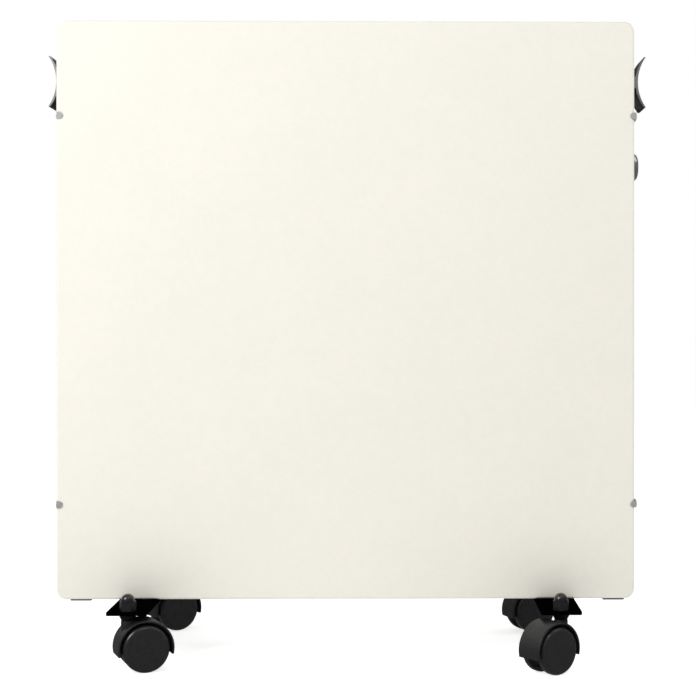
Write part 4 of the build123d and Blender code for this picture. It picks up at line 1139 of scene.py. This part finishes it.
# Light that the white ground gives off: on matt surfaces, to the eye and in reflections
GROUND_BOUNCE = 0.35
GROUND_SEEN = 0.72
GROUND_MIRRORED = 0.15
GROUND_TONE = (0.82, 0.82, 0.82, 1)
GROUND_HALF_SIZE = 60.0

# Light of the surround, on matt surfaces and in reflections
SURROUND_LIGHT = 0.342
SURROUND_MIRRORED = 0.2


def stage_ground():
    """A white ground that keeps the object's soft shadow."""
    bm = bmesh.new()
    bmesh.ops.create_grid(bm, x_segments=1, y_segments=1, size=GROUND_HALF_SIZE)
    mesh = bpy.data.meshes.new("ground")
    bm.to_mesh(mesh)
    bm.free()
    ground = bpy.data.objects.new("ground", mesh)
    bpy.context.collection.objects.link(ground)
    finish = bpy.data.materials.new("white_ground")
    finish.use_nodes = True
    tree = finish.node_tree
    tree.nodes.clear()
    out = tree.nodes.new("ShaderNodeOutputMaterial")
    matt = new_node(tree, "ShaderNodeBsdfDiffuse", sockets={"Color": GROUND_TONE})
    glow = new_node(tree, "ShaderNodeEmission", sockets={"Color": WHITE})
    rays = new_node(tree, "ShaderNodeLightPath")
    light = {"To Min": GROUND_BOUNCE, "To Max": GROUND_SEEN}
    lift = new_node(tree, "ShaderNodeMapRange", sockets=light)
    total = tree.nodes.new("ShaderNodeAddShader")
    dim_light = {"Color": WHITE, "Strength": GROUND_MIRRORED}
    dim = new_node(tree, "ShaderNodeEmission", sockets=dim_light)
    choice = tree.nodes.new("ShaderNodeMixShader")
    tree.links.new(rays.outputs["Is Camera Ray"], lift.inputs["Value"])
    tree.links.new(lift.outputs["Result"], glow.inputs["Strength"])
    tree.links.new(matt.outputs[0], total.inputs[0])
    tree.links.new(glow.outputs[0], total.inputs[1])
    tree.links.new(rays.outputs["Is Glossy Ray"], choice.inputs[0])
    tree.links.new(total.outputs[0], choice.inputs[1])
    tree.links.new(dim.outputs[0], choice.inputs[2])
    tree.links.new(choice.outputs[0], out.inputs["Surface"])
    mesh.materials.append(finish)


def light_world():
    """A surround that is white to the eye, soft on matt surfaces and dim in reflections."""
    world = bpy.data.worlds.new("studio")
    bpy.context.scene.world = world
    world.use_nodes = True
    tree = world.node_tree
    tree.nodes.clear()
    out = tree.nodes.new("ShaderNodeOutputWorld")
    sky = new_node(tree, "ShaderNodeBackground", sockets={"Color": WHITE})
    rays = new_node(tree, "ShaderNodeLightPath")
    light = {"To Min": SURROUND_LIGHT, "To Max": SURROUND_MIRRORED}
    mirrored = new_node(tree, "ShaderNodeMapRange", sockets=light)
    seen = new_node(tree, "ShaderNodeMath", {"operation": "MAXIMUM"})
    strength = new_node(tree, "ShaderNodeMix", {"data_type": "FLOAT"}, {3: 1.0})
    tree.links.new(rays.outputs["Is Glossy Ray"], mirrored.inputs["Value"])
    tree.links.new(rays.outputs["Is Camera Ray"], seen.inputs[0])
    tree.links.new(rays.outputs["Is Transmission Ray"], seen.inputs[1])
    tree.links.new(seen.outputs[0], strength.inputs[0])
    tree.links.new(mirrored.outputs["Result"], strength.inputs[2])
    tree.links.new(strength.outputs[0], sky.inputs["Strength"])
    tree.links.new(sky.outputs[0], out.inputs["Surface"])


# Soft lamps: place and aim in metres, size, power in watts, and whether reflections show it
LAMPS = {
    "key_upper_left": ((-1.35, -1.2, 1.4), (-0.1, 0, 0.35), 0.8, 26.3, True),
    "fill_upper_front": ((0.3, -1.0, 1.5), (0.05, 0, 0.4), 0.5, 3.0, True),
    "panel_upper_right": ((1.2, -0.1, 1.65), (0.24, 0, 0.42), 1.2, 3.4, True),
    "fill_right": ((1.7, 0.25, 0.5), (0.25, 0, 0.32), 1.2, 8.5, False),
}


def add_lamp(name, place, aim, size, power, mirrored):
    lamp = bpy.data.lights.new(name, "AREA")
    lamp.shape = "SQUARE"
    lamp.size = size
    lamp.energy = power
    holder = bpy.data.objects.new(name, lamp)
    holder.location = place
    holder.rotation_euler = (Vector(aim) - Vector(place)).to_track_quat("-Z", "Y").to_euler()
    holder.visible_glossy = mirrored
    bpy.context.collection.objects.link(holder)


# The camera's place in metres, its turn to the right in degrees, and its lens in mm
CAMERA_PLACE = (0.0491, -1.3339, 0.2864)
CAMERA_TURN = 0.634
CAMERA_LENS = 77.74
CAMERA_SENSOR = 36.0
CAMERA_SHIFT = (-0.1041, -0.0312)


def add_camera():
    """Straight on to the front, a little right of the middle, and shifted to frame the heater."""
    camera = bpy.data.cameras.new("camera")
    camera.sensor_width = CAMERA_SENSOR
    camera.lens = CAMERA_LENS
    camera.shift_x, camera.shift_y = CAMERA_SHIFT
    camera.clip_start = 0.05
    camera.clip_end = 100.0
    holder = bpy.data.objects.new("camera", camera)
    holder.location = CAMERA_PLACE
    holder.rotation_euler = (math.radians(90), 0, math.radians(-CAMERA_TURN))
    bpy.context.collection.objects.link(holder)
    bpy.context.scene.camera = holder


add_slabs_and_clips()
add_handles()
add_castors()
add_controls()
finish_kept_nodes()
stage_ground()
light_world()
for lamp_name, lamp_settings in LAMPS.items():
    add_lamp(lamp_name, *lamp_settings)
add_camera()
bpy.context.scene.view_settings.view_transform = "Standard"
